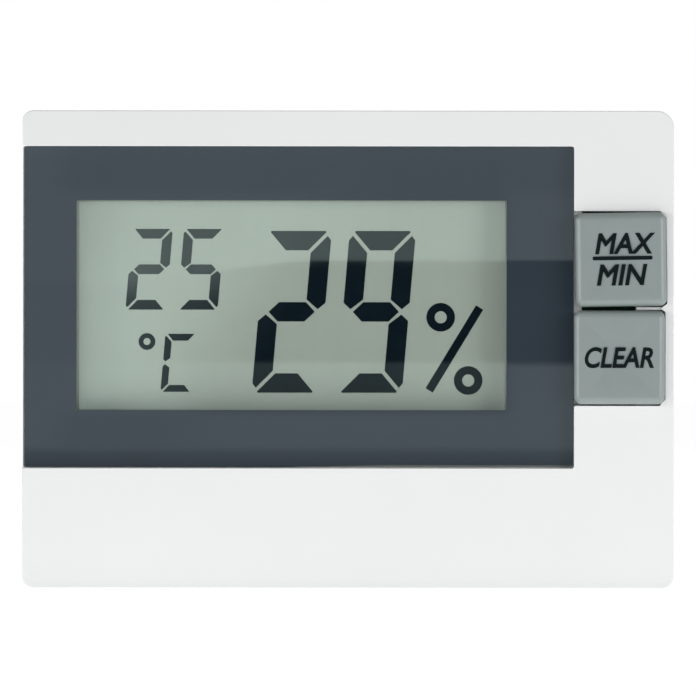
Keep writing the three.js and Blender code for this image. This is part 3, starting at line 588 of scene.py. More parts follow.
def display_segments():
    # Crystal turned dark between its polarisers: nearly black with a blue cast. Its sheen is a
    # painted
    #     # reflection, painted weaker towards the foot of the display
    base = bpy.context.scene.hygrometer_finish.display_dark
    material, tree, shader = start_material("display_segment_dark")
    cloud = patches(tree, 1.5)
    finish(tree, shader, clouded(tree, base, 0.8, cloud), cloud, (0.015, 0.03))
    behind_polish(material, 0.83)
    place = add(tree, "TexCoord").outputs["Object"]
    height = add(tree, "SeparateXYZ", None, {0: place}).outputs["Z"]
    # Painted reflection: the sheen is 0.83 above 28 mm and falls to 0.05 below 25 mm
    sheen = soft_steps(tree, (height, 25, 28, 0.05, 0.83))
    add(tree, shader, None, {"Specular IOR Level": sheen})
    return material


def striped_rubber():
    # Layered silicone strip: black conducting layers every fifth of a millimetre, pale between
    material, tree, shader = start_material("layered_silicone")
    place = add(tree, "TexCoord").outputs["Object"]
    spacing = 0.2 * MM
    wave = add(tree, "TexWave", {"Scale": 1 / (2 * math.pi * spacing)}, {"Vector": place})
    colours = {"data_type": "RGBA", 6: linear("#1A1A1C"), 7: linear("#C9C6BE")}
    layers = add(tree, "Mix", colours, {0: wave.outputs["Fac"]})
    finish(tree, shader, layers.outputs[2], patches(tree, 0.5), (0.6, 0.75))
    return material


def printed_board():
    # Glass-epoxy board under green solder resist, with the copper tracks a little lighter
    material, tree, shader = start_material("green_solder_resist")
    place = add(tree, "TexCoord").outputs["Object"]
    turned = add(tree, "Mapping", {"Rotation": (math.pi / 2, 0, 0)}, {"Vector": place})
    tracks = add(tree, "TexBrick", {
        "Color1": linear("#1B6A43"), "Color2": linear("#18603C"), "Mortar": linear("#2E8A58"),
        "Scale": 1 / (3.0 * MM), "Mortar Size": 0.06, "Brick Width": 1.6, "Row Height": 0.4,
    }, {"Vector": turned})
    finish(tree, shader, tracks.outputs["Color"], patches(tree, 1.0), (0.28, 0.4),
           tracks.outputs["Fac"], 0.02)
    return material


# Solids that are kept as they are, with their finish: its name and colour, its roughness, the size
# of its clouds, the size and the height of its grain in millimetres, and the share of its colour
# that is left in its clouds
MOULDED_SOLIDS = (
    # Cured epoxy line between the two glasses: satin grey with a yellow cast
    ("lcd_seal", "cured_epoxy_seal", "#B9B9A8", 0.5, 1.0, 0.1, 0.002, 0.93),
    # Aluminised diffusing film: matte grey-green
    ("rear_reflector", "diffusing_reflector", "#9AA699", 0.55, 3.0, 0.05, 0.002, 0.95),
    # Moulded natural ABS of the inner frame: white, with less sheen than the case
    ("lcd_frame", "white_abs_inner", "#E6E7E4", 0.55, 6.0, 0.15, 0.003, 0.96),
    # Epoxy poured over the chip: glossy black with soft waves
    ("chip_cover", "poured_epoxy_black", "#141414", 0.18, 2.5, 0.8, 0.01, 0.8),
    # Moulded housing of the sensor: warm white, satin
    ("humidity_sensor", "white_sensor_moulding", "#E4E6E2", 0.5, 2.0, 0.1, 0.003, 0.95),
    # Dipped epoxy bead: smooth glossy black
    ("thermistor", "dipped_epoxy_bead", "#181818", 0.25, 0.8, 0.3, 0.005, 0.8),
    # Moulded nylon ring of the cell: dark satin
    ("cell_seal", "moulded_nylon_ring", "#33363A", 0.5, 1.0, 0.1, 0.002, 0.9),
    # Pressed powder in the cell: grainy and quite matte
    ("cell_filling", "pressed_powder", "#2A2A2C", 0.9, 0.5, 0.08, 0.01, 0.75),
    # Moulded carbon-loaded rubber of the pills: matte black
    ("max_min_pill clear_pill", "carbon_rubber", "#1C1C1E", 0.8, 0.5, 0.05, 0.002, 0.8),
    # Carbon ink printed on the board: matte black
    ("max_min_pad clear_pad", "carbon_ink", "#202022", 0.7, 0.4, 0.04, 0.002, 0.8),
    # Fired ceramic of the capacitors: dull tan
    ("capacitor_1 capacitor_2 capacitor_3", "fired_ceramic", "#B08A62",
     0.55, 0.6, 0.08, 0.003, 0.9),
    # Glaze of the resistors: glossy black
    ("resistor_1 resistor_2 resistor_3 resistor_4", "glazed_resistor", "#151515",
     0.3, 0.5, 0.08, 0.002, 0.8),
)
# The same for metals: name, colour, roughness, size of the marks and how they are drawn out
METAL_SOLIDS = (
    # Zinc plate of the small machine screws, tumbled: pale grey with an uneven sheen
    ("board_screw_1 board_screw_2 board_screw_3 board_screw_4", "zinc_plate", "#BFC1C2",
     0.32, 0.15),
    # Nickel-plated spring steel, rolled: warm grey with lines along the strip
    ("negative_contact", "nickel_spring_negative", "#C4C2BA", 0.28, 0.08, (0.1, 1, 1)),
    ("positive_contact", "nickel_spring_positive", "#C4C2BA", 0.28, 0.08, (1, 1, 0.1)),
    # Drawn stainless steel of the cell: bright, with fine lines
    ("cell_can cell_cap", "drawn_steel", "#C8C9CA", 0.25, 0.1, (1, 0.1, 1)),
)


# Case

def keep_inside(base, node, start, end, wall):
    """Hollows the base so its inside matches the solid's, between two depths."""
    room = block("room", grown(CASE, -wall + 0.2 * MM), start, end)
    combine(room, [copy_of(node, "inside")], "DIFFERENCE")
    return combine(base, [room], "DIFFERENCE")


def face_cutter(shape, bay):
    """The opening in the face: the lens's seat, open to the left, and the key bay beside it."""
    soft = shape.soft_edge
    seat = grown(LENS, shape.slip + soft)
    _, right, bottom, top = grown(bay, soft)
    piece = add_plane("face_cutter", (CASE[0] - 2 * MM, *seat[1:]), FRONT - OVERRUN, 1)
    for height in (bottom, top):
        take_all()
        bpy.ops.mesh.bisect(plane_co=(0, 0, height), plane_no=(0, 0, 1), threshold=EXACT)

    def beside_bay(edge):
        a, b = (v.co for v in edge.verts)
        at_seat_end = near(a.x, seat[1]) and near(b.x, seat[1])
        return at_seat_end and bottom - SAME < (a.z + b.z) / 2 < top + SAME

    pick("edges", beside_bay)
    push(0, right - seat[1])
    bpy.ops.mesh.select_mode(type="FACE")
    take_all()
    bpy.ops.mesh.dissolve_faces()
    take_all()
    push(OVERRUN)
    corners = (
        (seat[1], seat[2:], shape.lens_corner + soft),
        (seat[1], (bottom, top), shape.lens_corner - soft),
        (right, (bottom, top), shape.key_corner),
    )
    for x, heights, radius in corners:
        round_uprights(radius, 6, lambda place: near(place.x, x)
                       and any(near(place.z, z) for z in heights))
    sink(FRONT, SEAT_FLOOR, soft)
    return piece


def key_area(key):
    """The outline of a key's cap."""
    shape = bpy.context.scene.hygrometer_shape
    _, right, bottom, top = area_of(KEY_NODES[key])
    shift = shape.key_shift if key == "clear" else 0
    return (LENS[1] + shape.slip + shape.key_gap - shift, right - shift, bottom, top)


def turn_key(piece, key):
    """Turns a piece of the upper key, which sits a little askew, about the key's middle."""
    if key == "max_min":
        x, z = centre(key_area(key))
        edit(piece)
        bpy.ops.transform.rotate(value=bpy.context.scene.hygrometer_shape.key_turn,
                                 orient_axis="Y", center_override=(x, 0, z))
        bpy.ops.object.mode_set(mode="OBJECT")


def bay_ribs(bay, low, high, floor):
    """The ribs that part the two keys and close the gap at their right."""
    _, right, bottom, top = bay
    middle = (low[3] + high[2]) / 2
    thin = 0.11 * MM  # half the thickness of the parting rib
    slack = 0.05 * MM  # gap between a key and the rib at its right
    wedge = 0.5 * MM  # how far the parting rib spreads at its right end
    corner = 0.42 * MM  # size of the webs behind the keys' outer corners
    start, end = WELL[1] + 0.04 * MM, right + 0.1 * MM
    web_bottom, web_top = bottom - slack * 1.2, top + slack * 1.2
    turn = bpy.context.scene.hygrometer_shape.key_turn
    lean = math.sin(turn) * (high[3] - high[2]) / 2
    beside_low, foot, head = low[1] + slack, high[1] + lean + slack, high[1] - lean + slack
    web_left = high[1] - corner * 1.2
    outlines = (
        [(start, middle - thin), (end, middle - thin), (end, middle + thin),
         (start, middle + thin)],
        [(right - wedge, middle - thin / 2), (end, middle - wedge), (end, middle + wedge),
         (right - wedge, middle + thin / 2)],
        [(beside_low, bottom - slack), (end, bottom - slack), (end, middle), (beside_low, middle)],
        [(foot, middle), (end, middle), (end, top + slack), (head, top + slack)],
        [(low[1] - corner, web_bottom), (end, web_bottom), (end, low[2] + corner),
         (beside_low, low[2] + corner), (low[1] - corner, low[2] - slack)],
        [(head, high[3] - corner), (end, high[3] - corner), (end, web_top), (web_left, web_top),
         (web_left, high[3] + slack * 1.6)],
    )
    ribs = []
    for i, outline in enumerate(outlines):
        # The parting rib lies deeper. Each rib's depths differ a little, so no two faces coincide
        front = FRONT + (0.02 + i * 0.004 if i else 0.3) * MM
        back = floor + 0.1 * MM + i * 0.004 * MM
        ribs.append(cut_outline(outline, front, back - front, 0.005 * MM))
    return ribs


def side_slope(bay):
    """A cutter that lets the case's face fall away to the right of the keys, towards them."""
    area = (bay[1] - 4 * MM, CASE[1] + MM, bay[2], bay[3])
    piece = add_plane("side_slope", area, FRONT - OVERRUN, 1)
    push(OVERRUN)
    for side, along in ((-1, 0.16 * MM), (1, -0.035 * MM)):
        pick("verts", lambda vert: near(vert.co.y, FRONT) and side * (vert.co.x - CASE[1]) > 0)
        bpy.ops.transform.translate(value=(0, along, 0))
    close_mesh()
    return piece


class HYGRO_OT_front_shell(bpy.types.Operator):
    """Models the front half of the case, with the lens's seat, the window and the key bay"""
    bl_idname = "hygro.front_shell"
    bl_label = "Front shell"

    def execute(self, context):
        shape = context.scene.hygrometer_shape
        low, high = key_area("clear"), key_area("max_min")
        gap = shape.key_gap
        bay = (high[0] - gap, high[1] + 0.08 * MM, low[2] - gap, high[3] + gap)
        well_area = (*WELL, bay[2] - 0.003 * MM, bay[3] + 0.003 * MM)
        inner_face = FRONT + shape.face_wall
        overlap = 0.1 * MM
        shell = case_half("front_case", shape, FRONT, shape.front_edge, 4)
        keep_inside(shell, "front_shell", inner_face + HAIR, PARTING + MM, shape.wall)
        cutters = [
            face_cutter(shape, bay),
            opening("window", grown(VIEW, shape.window + HAIR), SEAT_FLOOR, SEAT_FLOOR + 1.4 * MM,
                    shape.window_corner, 0.05 * MM),
            block("ledge", bay, SEAT_FLOOR - overlap, inner_face),
            block("well", well_area, SEAT_FLOOR - overlap, inner_face + overlap),
        ]
        combine(shell, cutters, "DIFFERENCE")
        combine(shell, bay_ribs(bay, low, high, inner_face), "UNION")
        combine(shell, [side_slope(bay)], "DIFFERENCE")
        smooth(shell)
        dress(shell, case_plastic(), "case", "white_abs", "front_shell")
        return {"FINISHED"}


def door_cutters(shape):
    """The door's recess, open at the case's side, and the slots for its rails."""
    low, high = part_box("battery_door")
    gap = shape.slip
    left, right, bottom, top = grown((low.x, CASE[1] + 2 * MM, low.z + RAIL, high.z - RAIL), gap)
    floor = low.y - gap
    return [
        opening("door_recess", (left, right, bottom, top), BACK, floor, 0.15 * MM, shape.soft_edge),
        block("door_rails", (left, right, bottom - RAIL, top + RAIL), floor, low.y + RAIL + gap),
    ]


def leg_cutters(shape):
    """The leg's recess, open at the case's foot, and the sockets that its hinge pins turn in."""
    low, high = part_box("stand_leg")
    side = 0.2 * MM
    skin = 0.02 * MM
    leg = (low.x + PIN - side, high.x - PIN + side, -3 * MM, high.z + 0.61 * MM)
    recess = opening("leg_recess", grown(leg, skin), BACK, low.y - side - skin, 0.15 * MM,
                     shape.soft_edge)
    sockets = add_hinge_rod("sockets", 0.785 * MM, high.x - low.x + 0.7 * MM)
    close_mesh()
    return [recess, sockets]


def keyhole_cutters(shape):
    """The keyhole: a round hole for the head of a wall screw and a narrow slot above it."""
    head = (0, 33.0 * MM)
    slot = 1.6 * MM  # half the slot's width
    rise = 4.5 * MM
    floor = BACK - shape.face_wall - 0.15 * MM
    soft = shape.soft_edge
    return [
        round_opening("keyhole_head", head, 3.205 * MM, BACK, floor, soft),
        opening("keyhole_slot", (-slot, slot, head[1], head[1] + rise + slot), BACK, floor,
                slot * 0.98, soft, 12),
    ]


def air_slot_cutters(shape):
    """Five upright slots behind the humidity sensor."""
    low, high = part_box("humidity_sensor")
    middle = (low + high) / 2
    floor = BACK - shape.face_wall - 0.5 * MM
    return [
        opening(f"air_slot_{i}", around((middle.x + i * 2 * MM, middle.z), MM, 7 * MM), BACK, floor,
                0.3 * MM, shape.soft_edge)
        for i in range(-2, 3)
    ]


class HYGRO_OT_rear_shell(bpy.types.Operator):
    """Models the back half of the case, with leg recess, keyhole, air slots and door rails"""
    bl_idname = "hygro.rear_shell"
    bl_label = "Rear shell"

    def execute(self, context):
        shape = context.scene.hygrometer_shape
        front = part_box("rear_shell")[0].y
        inner = grown(grown(CASE, -shape.wall), -0.05 * MM)
        shell = case_half("rear_case", shape, BACK, shape.back_edge, 6)
        spigot = block("spigot", inner, front - 0.5 * MM, PARTING + 0.1 * MM)
        combine(shell, [spigot], "UNION")
        keep_inside(shell, "rear_shell", front - MM, BACK - shape.face_wall - HAIR, shape.wall)
        cutters = [*door_cutters(shape), *leg_cutters(shape), *keyhole_cutters(shape),
                   *air_slot_cutters(shape)]
        for i in range(1, 5):
            place = centre(area_of(f"case_screw_{i}"))
            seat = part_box(f"case_screw_{i}")[1].y - SCREW_SEAT
            cutters.append(round_opening(f"screw_bore_{i}", place, 1.876 * MM, BACK, seat,
                                         shape.soft_edge))
        combine(shell, cutters, "DIFFERENCE")
        smooth(shell)
        dress(shell, case_plastic(), "case", "white_abs", "rear_shell")
        return {"FINISHED"}


def layer_round_view(name, node, outline, margin, inset):
    """A thin layer behind the lens and the cutter for its window, which clears the view."""
    corner = bpy.context.scene.hygrometer_shape.lens_corner
    low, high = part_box(node)
    layer = slab(name, outline, high.y - inset, low.y + inset, corner, 0.004 * MM, 1, 6)
    return layer, block("hole", grown(VIEW, margin), high.y + OVERRUN, low.y - OVERRUN)


class HYGRO_OT_lens(bpy.types.Operator):
    """Models the clear lens let into the face, the border printed on its back and its tape"""
    bl_idname = "hygro.lens"
    bl_label = "Lens"

    def execute(self, context):
        shape = context.scene.hygrometer_shape
        left, right, bottom, top = LENS
        sheet = (left, right + 0.1 * MM, bottom - 0.05 * MM, top + 0.1 * MM)
        # The back stays a hair clear of the printed border
        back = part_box("display_lens")[1].y - 2 * HAIR
        lens = slab("clear_lens", sheet, back, FRONT, shape.lens_corner, shape.lens_edge, 3, 6)
        smooth(lens)
        # Cast acrylic, polished on both faces: quite clear
        acrylic = clear_sheet("cast_acrylic_clear", "#FCFDFD")
        dress(lens, acrylic, "case", "clear_acrylic", "display_lens")
        # The milled edge of the same sheet, painted an opaque dark grey as a painted reflection of
        # the border, which also leaves painted shade in the gap round the lens
        edge = moulded("cast_acrylic_milled_edge", linear("#343B3F"), 0.3, 5.0, 0.3, 0.002, 0.85,
                       1.49)
        lens.data.materials.append(edge)
        edit(lens)
        pick("faces", lambda face: abs(face.normal.y) < 0.1)
        lens.active_material_index = 1
        bpy.ops.object.material_slot_assign()
        bpy.ops.object.mode_set(mode="OBJECT")
        let_light_by(lens)

        border, window = layer_round_view("printed_border", "lens_mask", grown(sheet, -HAIR), 0, 0)
        # The print ends a little short of the lens's lower edge, more so towards the right
        low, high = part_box("lens_mask")
        end = sheet[2] + shape.border_foot
        below = end - 2 * MM
        foot = cut_outline([(-6 * MM, sheet[2]), (3 * MM, end), (22 * MM, end), (22 * MM, below),
                            (-6 * MM, below)], high.y + 0.5 * MM, low.y - high.y - MM, HAIR)
        combine(border, [window, foot], "DIFFERENCE")
        smooth(border)
        # Screen ink printed on the back of the lens, which gives it the sharp mirror image
        ink = screen_ink("border_ink_slate", context.scene.hygrometer_finish.border_ink, 0.0)
        dress(border, behind_polish(ink, 0.0), "case", "printed_border", "lens_mask")

        gum, window = layer_round_view("lens_gum", "lens_tape", grown(sheet, -0.04 * MM),
                                       0.5 * MM, 0.002 * MM)
        combine(gum, [window], "DIFFERENCE")
        smooth(gum)
        # Double-sided tissue tape, calendered: matte and slightly fibrous. Its dark grey is painted
        # shade, for the shaded seat seen through the lens's clear rim
        tissue = moulded("grey_tissue_tape", linear("#777976"), 0.85, 2.0, 0.2, 0.01, 0.9)
        dress(gum, tissue, "case", "tape", "lens_tape")
        return {"FINISHED"}


def let_light_by(sheet):
    """Leaves a clear sheet out of the path of light that starts behind it."""
    sheet.visible_diffuse = False
    sheet.visible_glossy = False
    sheet.visible_shadow = False


class HYGRO_OT_glass(bpy.types.Operator):
    """Models the polarising film and the front glass of the display"""
    bl_idname = "hygro.glass"
    bl_label = "Display glass"

    def execute(self, context):
        ease = 0.05 * MM
        sheets = (
            # Triacetate polarising film with a hard coat: clear, faintly green
            ("polariser_film", "front_polariser", "polariser", "polarising_film", "#F6F9F5"),
            # Thin float glass with films bonded to both its faces: clear
            ("front_glass", "lcd_front_glass", "glass", "float_glass", "#FBFDFC"),
        )
        for name, node, slot, finish_name, tint in sheets:
            low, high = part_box(node)
            sheet = slab(name, area_of(node), high.y - 0.002 * MM, low.y, ease, ease / 5, 2, 3)
            smooth(sheet)
            dress(sheet, clear_sheet(finish_name, tint), "case", slot, node)
            let_light_by(sheet)
        return {"FINISHED"}


# Display

def digit(place, size, strokes, gap, tip, lit):
    """Corners of the lit segments of one slanted digit, a to g clockwise from the top.

    Sizes are in millimetres: the digit's, those of its flat and upright strokes, the gap between
    segments and the cut of their tips.
    """
    width, height = size
    bar, post = strokes
    edge = gap / math.sqrt(2)
    nib = post / 2 + edge * 0.15
    half = height / 2
    shapes = {
        "a": [(edge * 1.6 + tip * 0.8, height), (edge * 1.9, height - tip / 2),
              (post + edge, height - bar), (width - post - edge, height - bar),
              (width - edge * 1.9, height - tip / 2), (width - edge * 1.6 - tip * 0.8, height)],
        "b": [(width, height - edge - tip * 3), (width - tip * 1.6, height - edge - tip),
              (width - post, height - bar - edge), (width - post, half + bar / 2 + edge),
              (width - nib + edge, half + edge), (width, half + bar / 3 + edge)],
        "g": [(nib, half), (nib + bar / 2, half + bar / 2),
              (width - nib - bar / 2, half + bar / 2), (width - nib, half),
              (width - nib - bar / 2, half - bar / 2), (nib + bar / 2, half - bar / 2)],
    }
    shapes["d"] = [(width - u, height - v) for u, v in shapes["a"]]
    shapes["e"] = [(width - u, height - v) for u, v in shapes["b"]]
    shapes["f"] = [(width - u, v) for u, v in shapes["b"]]
    shapes["c"] = [(width - u, v) for u, v in shapes["e"]]
    return [[(place[0] + u + v * SLANT, place[1] + v) for u, v in shapes[name]] for name in lit]


def slash(middle):
    """Corners of the stroke of the percent sign, in millimetres."""
    run, rise, width = 4.51, 7.43, 0.75
    size = math.hypot(run, rise)
    return [
        (middle[0] + a * run / 2 - b * rise / size * width / 2,
         middle[1] + a * rise / 2 + b * run / size * width / 2)
        for a, b in ((-1, 1), (-1, -1), (1, -1), (1, 1))
    ]


def cut_outline(points, y, thickness, soft):
    """A flat piece cut from a rectangle along each side of a convex outline, soft-cornered."""
    points = [Vector((x, 0, z)) for x, z in points]
    xs, zs = [p.x for p in points], [p.z for p in points]
    middle = sum(points, Vector()) / len(points)
    area = grown((min(xs), max(xs), min(zs), max(zs)), 0.1 * MM)
    piece = add_plane("outline", area, y, -1)
    for a, b in zip(points, points[1:] + points[:1]):
        side = (b - a).normalized()
        out = Vector((side.z, 0, -side.x))
        if out.dot(a - middle) < 0:
            out = -out
        take_all()
        bpy.ops.mesh.bisect(plane_co=a, plane_no=out, clear_outer=True, threshold=EXACT)
    bpy.ops.mesh.select_mode(type="VERT")
    take_all()
    bpy.ops.mesh.bevel(offset=soft, segments=3, profile=0.5, affect="VERTICES",
                       clamp_overlap=True)
    bpy.ops.mesh.select_mode(type="FACE")
    take_all()
    push(thickness)
    close_mesh()
    return piece


def cut_ring(place, radius, hole, y, thickness):
    """A flat ring, with its place and radii in millimetres."""
    piece = add_disc("ring", (place[0] * MM, place[1] * MM), radius * MM, y, 40)
    bpy.ops.mesh.inset(thickness=(radius - hole) * MM, depth=0)
    bpy.ops.mesh.delete(type="FACE")
    take_all()
    push(thickness)
    close_mesh()
    return piece


class HYGRO_OT_display(bpy.types.Operator):
    """Models the display's pale ground and its lit segments: 25 °C and 29 %"""
    bl_idname = "hygro.display"
    bl_label = "Display"

    def execute(self, context):
        node = "liquid_crystal_layer"
        low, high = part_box(node)
        face = low.y + 0.02 * MM
        ground = slab("crystal_ground", area_of(node), high.y, face, 0.2 * MM, 0.005 * MM, 1, 3)
        large = ((5.92, 14.49), (1.73, 1.72), 0.34, 0.2)
        small = ((3.62, 7.23), (0.87, 0.87), 0.2, 0.08)
        letter = ((2.8, 5.195), (0.61, 0.61), 0.17, 0.05)
        outlines = [
            *digit((-8.63, 17.37), *large, "abged"),
            *digit((-1.09, 17.37), *large, "abfgcd"),
            *digit((-19.945, 24.8), *small, "abged"),
            *digit((-15.31, 24.8), *small, "afgcd"),
            *digit((-16.8, 17.44), *letter, "afed"),
            slash((9.53, 21.3)),
        ]
        # The degree's ring and the two of the percent sign
        rings = (((-18.01, 21.94), 0.75, 0.32), ((10.77, 18.48), 1.28, 0.55),
                 ((8.3, 24.14), 1.28, 0.55))
        start = face - HAIR / 10
        pieces = [
            cut_outline([(x * MM, z * MM) for x, z in points], start, low.y - start, 0.03 * MM)
            for points in outlines
        ]
        pieces += [cut_ring(*ring, start, low.y - start) for ring in rings]
        segments = join(pieces, "lit_segments")
        smooth(segments)
        dress(ground, display_ground(), "case", "reflector", node)
        dress(segments, display_segments(), "case", "crystal", node)
        return {"FINISHED"}


# Keys

class HYGRO_OT_keys(bpy.types.Operator):
    """Models the two keys, each with a soft-edged face, a stem and hooks"""
    bl_idname = "hygro.keys"
    bl_label = "Keys"

    def execute(self, context):
        shape = context.scene.hygrometer_shape
        cap_back = FRONT + 0.75 * MM
        play = 0.2 * MM
        half = 2.5 * MM  # half the height of the stem
        for key, node in KEY_NODES.items():
            low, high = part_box(node)
            top = low.y + 0.015 * MM
            middle = (low.z + high.z) / 2
            cap = slab(f"{key}_key", key_area(key), cap_back, top, shape.key_corner,
                       shape.key_crown, 7, 10, shape.key_drop)
            dish_face(cap, top, shape.key_dish)
            stem_area = (WELL[0] + play, WELL[1] - play, middle - half, middle + half)
            stem = block("stem", stem_area, cap_back - 0.3 * MM, high.y)
            half_hooks = half + HAIR / 10
            hooks_area = (low.x, WELL[1] + 0.8 * MM, middle - half_hooks, middle + half_hooks)
            hooks = block("hooks", hooks_area, -4.55 * MM, high.y)
            combine(cap, [stem, hooks], "UNION")
            turn_key(cap, key)
            smooth(cap, 40)
            dress(cap, key_plastic(), f"{key}_key", "grey_key", node)
        return {"FINISHED"}


def dish_face(piece, top, depth):
    """Hollows the middle of a key's face a little, as a finger rest."""
    edit(piece)
    pick_cap(top)
    rim = [v.co for v in piece.data.vertices if near(v.co.y, top)]
    middle = sum(rim, Vector()) / len(rim)
    steps = 7
    for i in range(1, steps + 1):
        before, after = (math.cos(math.pi * s / steps) for s in (i - 1, i))
        push(depth * (before - after) / 2)
        shrink = (steps + 1 - i) / (steps + 2 - i)
        bpy.ops.transform.resize(value=(shrink, 1, shrink), center_override=middle)
    bpy.ops.object.mode_set(mode="OBJECT")


class HYGRO_OT_domes(bpy.types.Operator):
    """Models the rubber domes under the keys, each with a mesh of its own"""
    bl_idname = "hygro.domes"
    bl_label = "Rubber domes"

    def execute(self, context):
        # Moulded silicone: milky, with a soft sheen
        silicone = moulded("milky_silicone", linear("#B8BCB8"), 0.6, 1.5, 0.1, 0.002, 0.95)
        for key in KEY_NODES:
            node, press = f"{key}_dome", f"{key}_press"
            dome = copy_of(node, f"{key}_rubber")
            smooth(dome)
            dress(dome, silicone, "case", "clear_rubber", node)
            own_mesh(dome)
        return {"FINISHED"}


def lettering(text, name, area, y):
    """Bold slanted capitals as a thin print that fills an area in millimetres."""
    select_only()
    bpy.ops.object.text_add()
    body = bpy.context.object.data
    body.body = text
    body.shear = 0.2
    body.extrude = 0.004
    body.bevel_depth = 0.024
    body.bevel_resolution = 2
    body.resolution_u = 6
    bpy.ops.object.convert(target="MESH")
    piece = bpy.context.object
    corners = [v.co for v in piece.data.vertices]
    low = Vector(min(c[i] for c in corners) for i in range(3))
    high = Vector(max(c[i] for c in corners) for i in range(3))
    size = high - low
    piece.data.transform(Matrix.Translation(-(low + high) / 2))
    left, right, bottom, top = area
    x, z = centre(area)
    thickness = 0.012
    piece.rotation_euler = (math.pi / 2, 0, 0)
    piece.location = (x * MM, y, z * MM)
    open_new(name, ((right - left) * MM / size.x, (top - bottom) * MM / size.y,
                    thickness * MM / size.z))
    close_mesh()
    return piece


class HYGRO_OT_labels(bpy.types.Operator):
    """Prints the plain function words MAX, MIN and CLEAR on the keys"""
    bl_idname = "hygro.labels"
    bl_label = "Key labels"

    def execute(self, context):
        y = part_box("max_min_button")[0].y + 0.008 * MM
        half = 0.006 * MM
        rule_area = (21.73 * MM, 27.03 * MM, 29.22 * MM, 29.56 * MM)
        ink = screen_ink("label_ink_black", context.scene.hygrometer_finish.label_ink, 0.05)
        upper = join([
            lettering("MAX", "max_word", (21.95, 27.31, 29.75, 31.62), y),
            lettering("MIN", "min_word", (22.06, 26.57, 26.96, 28.84), y),
            slab("label_rule", rule_area, y + half, y - half, 0.1 * MM, 0.003 * MM, 1, 3),
        ], "max_min_label")
        turn_key(upper, "max_min")
        lower = lettering("CLEAR", "clear_label", (21.02, 27.18, 19.61, 21.48), y)
        for label, body in ((upper, "max_min_key"), (lower, "clear_key")):
            dress(label, ink, body, "printed_border")
        return {"FINISHED"}


# Back of the case

def groove(name, place, width, height, surface):
    """A cutter for one grip groove."""
    shape = bpy.context.scene.hygrometer_shape
    return opening(name, around(place, width, height), surface, surface - shape.grip_depth,
                   min(width, height) * 0.45, 0.06 * MM)


GROOVE_LENGTH = 8 * MM


class HYGRO_OT_door(bpy.types.Operator):
    """Models the sliding cell door with its rails and grip grooves"""
    bl_idname = "hygro.door"
    bl_label = "Cell door"

    def execute(self, context):
        shape = context.scene.hygrometer_shape
        low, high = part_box("battery_door")
        area = (low.x, CASE[1] + 2 * MM, low.z + RAIL, high.z - RAIL)
        door = slab("cell_door", area, low.y, BACK - HAIR, 0.15 * MM, 0.08 * MM, 3)
        rails = block("rails", (low.x, CASE[1] + 1.5 * MM, low.z, high.z), low.y, low.y + RAIL)
        combine(door, [rails], "UNION")
        outside = case_half("outside", shape, BACK, shape.back_edge, 6)
        combine(door, [outside], "INTERSECT")
        middle = (low.z + high.z) / 2
        edge = high.x - shape.back_edge
        grooves = [
            groove(f"groove_{i}", (edge - i * shape.grip_pitch, middle), shape.grip_width,
                   GROOVE_LENGTH, BACK)
            for i in range(1, 5)
        ]
        combine(door, grooves, "DIFFERENCE")
        smooth(door)
        dress(door, case_plastic(), "door", "white_abs", "battery_door")
        return {"FINISHED"}


class HYGRO_OT_stand_leg(bpy.types.Operator):
    """Models the fold-out leg with its hinge pins, hollow and grip grooves"""
    bl_idname = "hygro.stand_leg"
    bl_label = "Stand leg"

    def execute(self, context):
        shape = context.scene.hygrometer_shape
        low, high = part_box("stand_leg")
        left, right = low.x + PIN, high.x - PIN
        soft = 0.12 * MM
        # The heel above the hinge is what stops the leg when it is open
        heel = HINGE[2] + 0.56 * MM
        leg = slab("fold_out_leg", (left, right, low.z, heel), low.y, high.y, soft, soft, 3)
        rim = 2.2 * MM  # width of the leg's frame round its hollow
        hollow_area = (left + rim, right - rim, low.z + rim, HINGE[2] - rim)
        hollow = block("hollow", hollow_area, low.y - OVERRUN, low.y + 0.8 * MM)
        grooves = [
            groove(f"leg_groove_{i}", (0, low.z + i * shape.grip_pitch), GROOVE_LENGTH,
                   shape.grip_width, high.y)
            for i in range(1, 5)
        ]
        combine(leg, [hollow, *grooves], "DIFFERENCE")
        pins = add_hinge_rod("pins", 0.7 * MM, high.x - low.x)
        pick("edges", lambda edge: near(edge.verts[0].co.x, edge.verts[1].co.x))
        bpy.ops.mesh.bevel(offset=soft, segments=3, profile=0.5)
        close_mesh()
        combine(leg, [pins], "UNION")
        smooth(leg)
        dress(leg, case_plastic(), "stand", "white_abs", "stand_leg")
        return {"FINISHED"}


def pan_head_screw(name, node):
    """A screw with a domed head, a tapered shank and a cross recess, in a solid's place."""
    low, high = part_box(node)
    place = centre(area_of(node))
    head = (high.x - low.x) / 2
    seat = high.y - SCREW_SEAT
    brim = 0.45 * MM
    screw = add_disc(name, place, head, seat)
    push(brim)
    pick_cap(seat + brim)
    roll_in(head * 0.75, 0.64 * MM, 8, 1)
    close_mesh()
    taper = 0.6 * MM
    shank = add_disc("shank", place, MM, seat + 0.1 * MM, 32)
    push(low.y - seat + 0.5 * MM)
    pick_cap(low.y + taper)
    bpy.ops.mesh.inset(thickness=taper, depth=0)
    bpy.ops.transform.translate(value=(0, HAIR - taper, 0))
    close_mesh()
    combine(screw, [shank], "UNION")
    bars = []
    span, blade = 2.0 * MM, 0.42 * MM
    for size in ((span, blade), (blade, span)):
        bars.append(add_plane("bar", around(place, *size), high.y + 0.2 * MM, -1))
        push(-0.3 * MM)
        bpy.ops.mesh.inset(thickness=0.04 * MM, depth=0)
        push(-0.55 * MM)
        close_mesh()
    combine(screw, bars, "DIFFERENCE")
    smooth(screw, 35)
    return screw


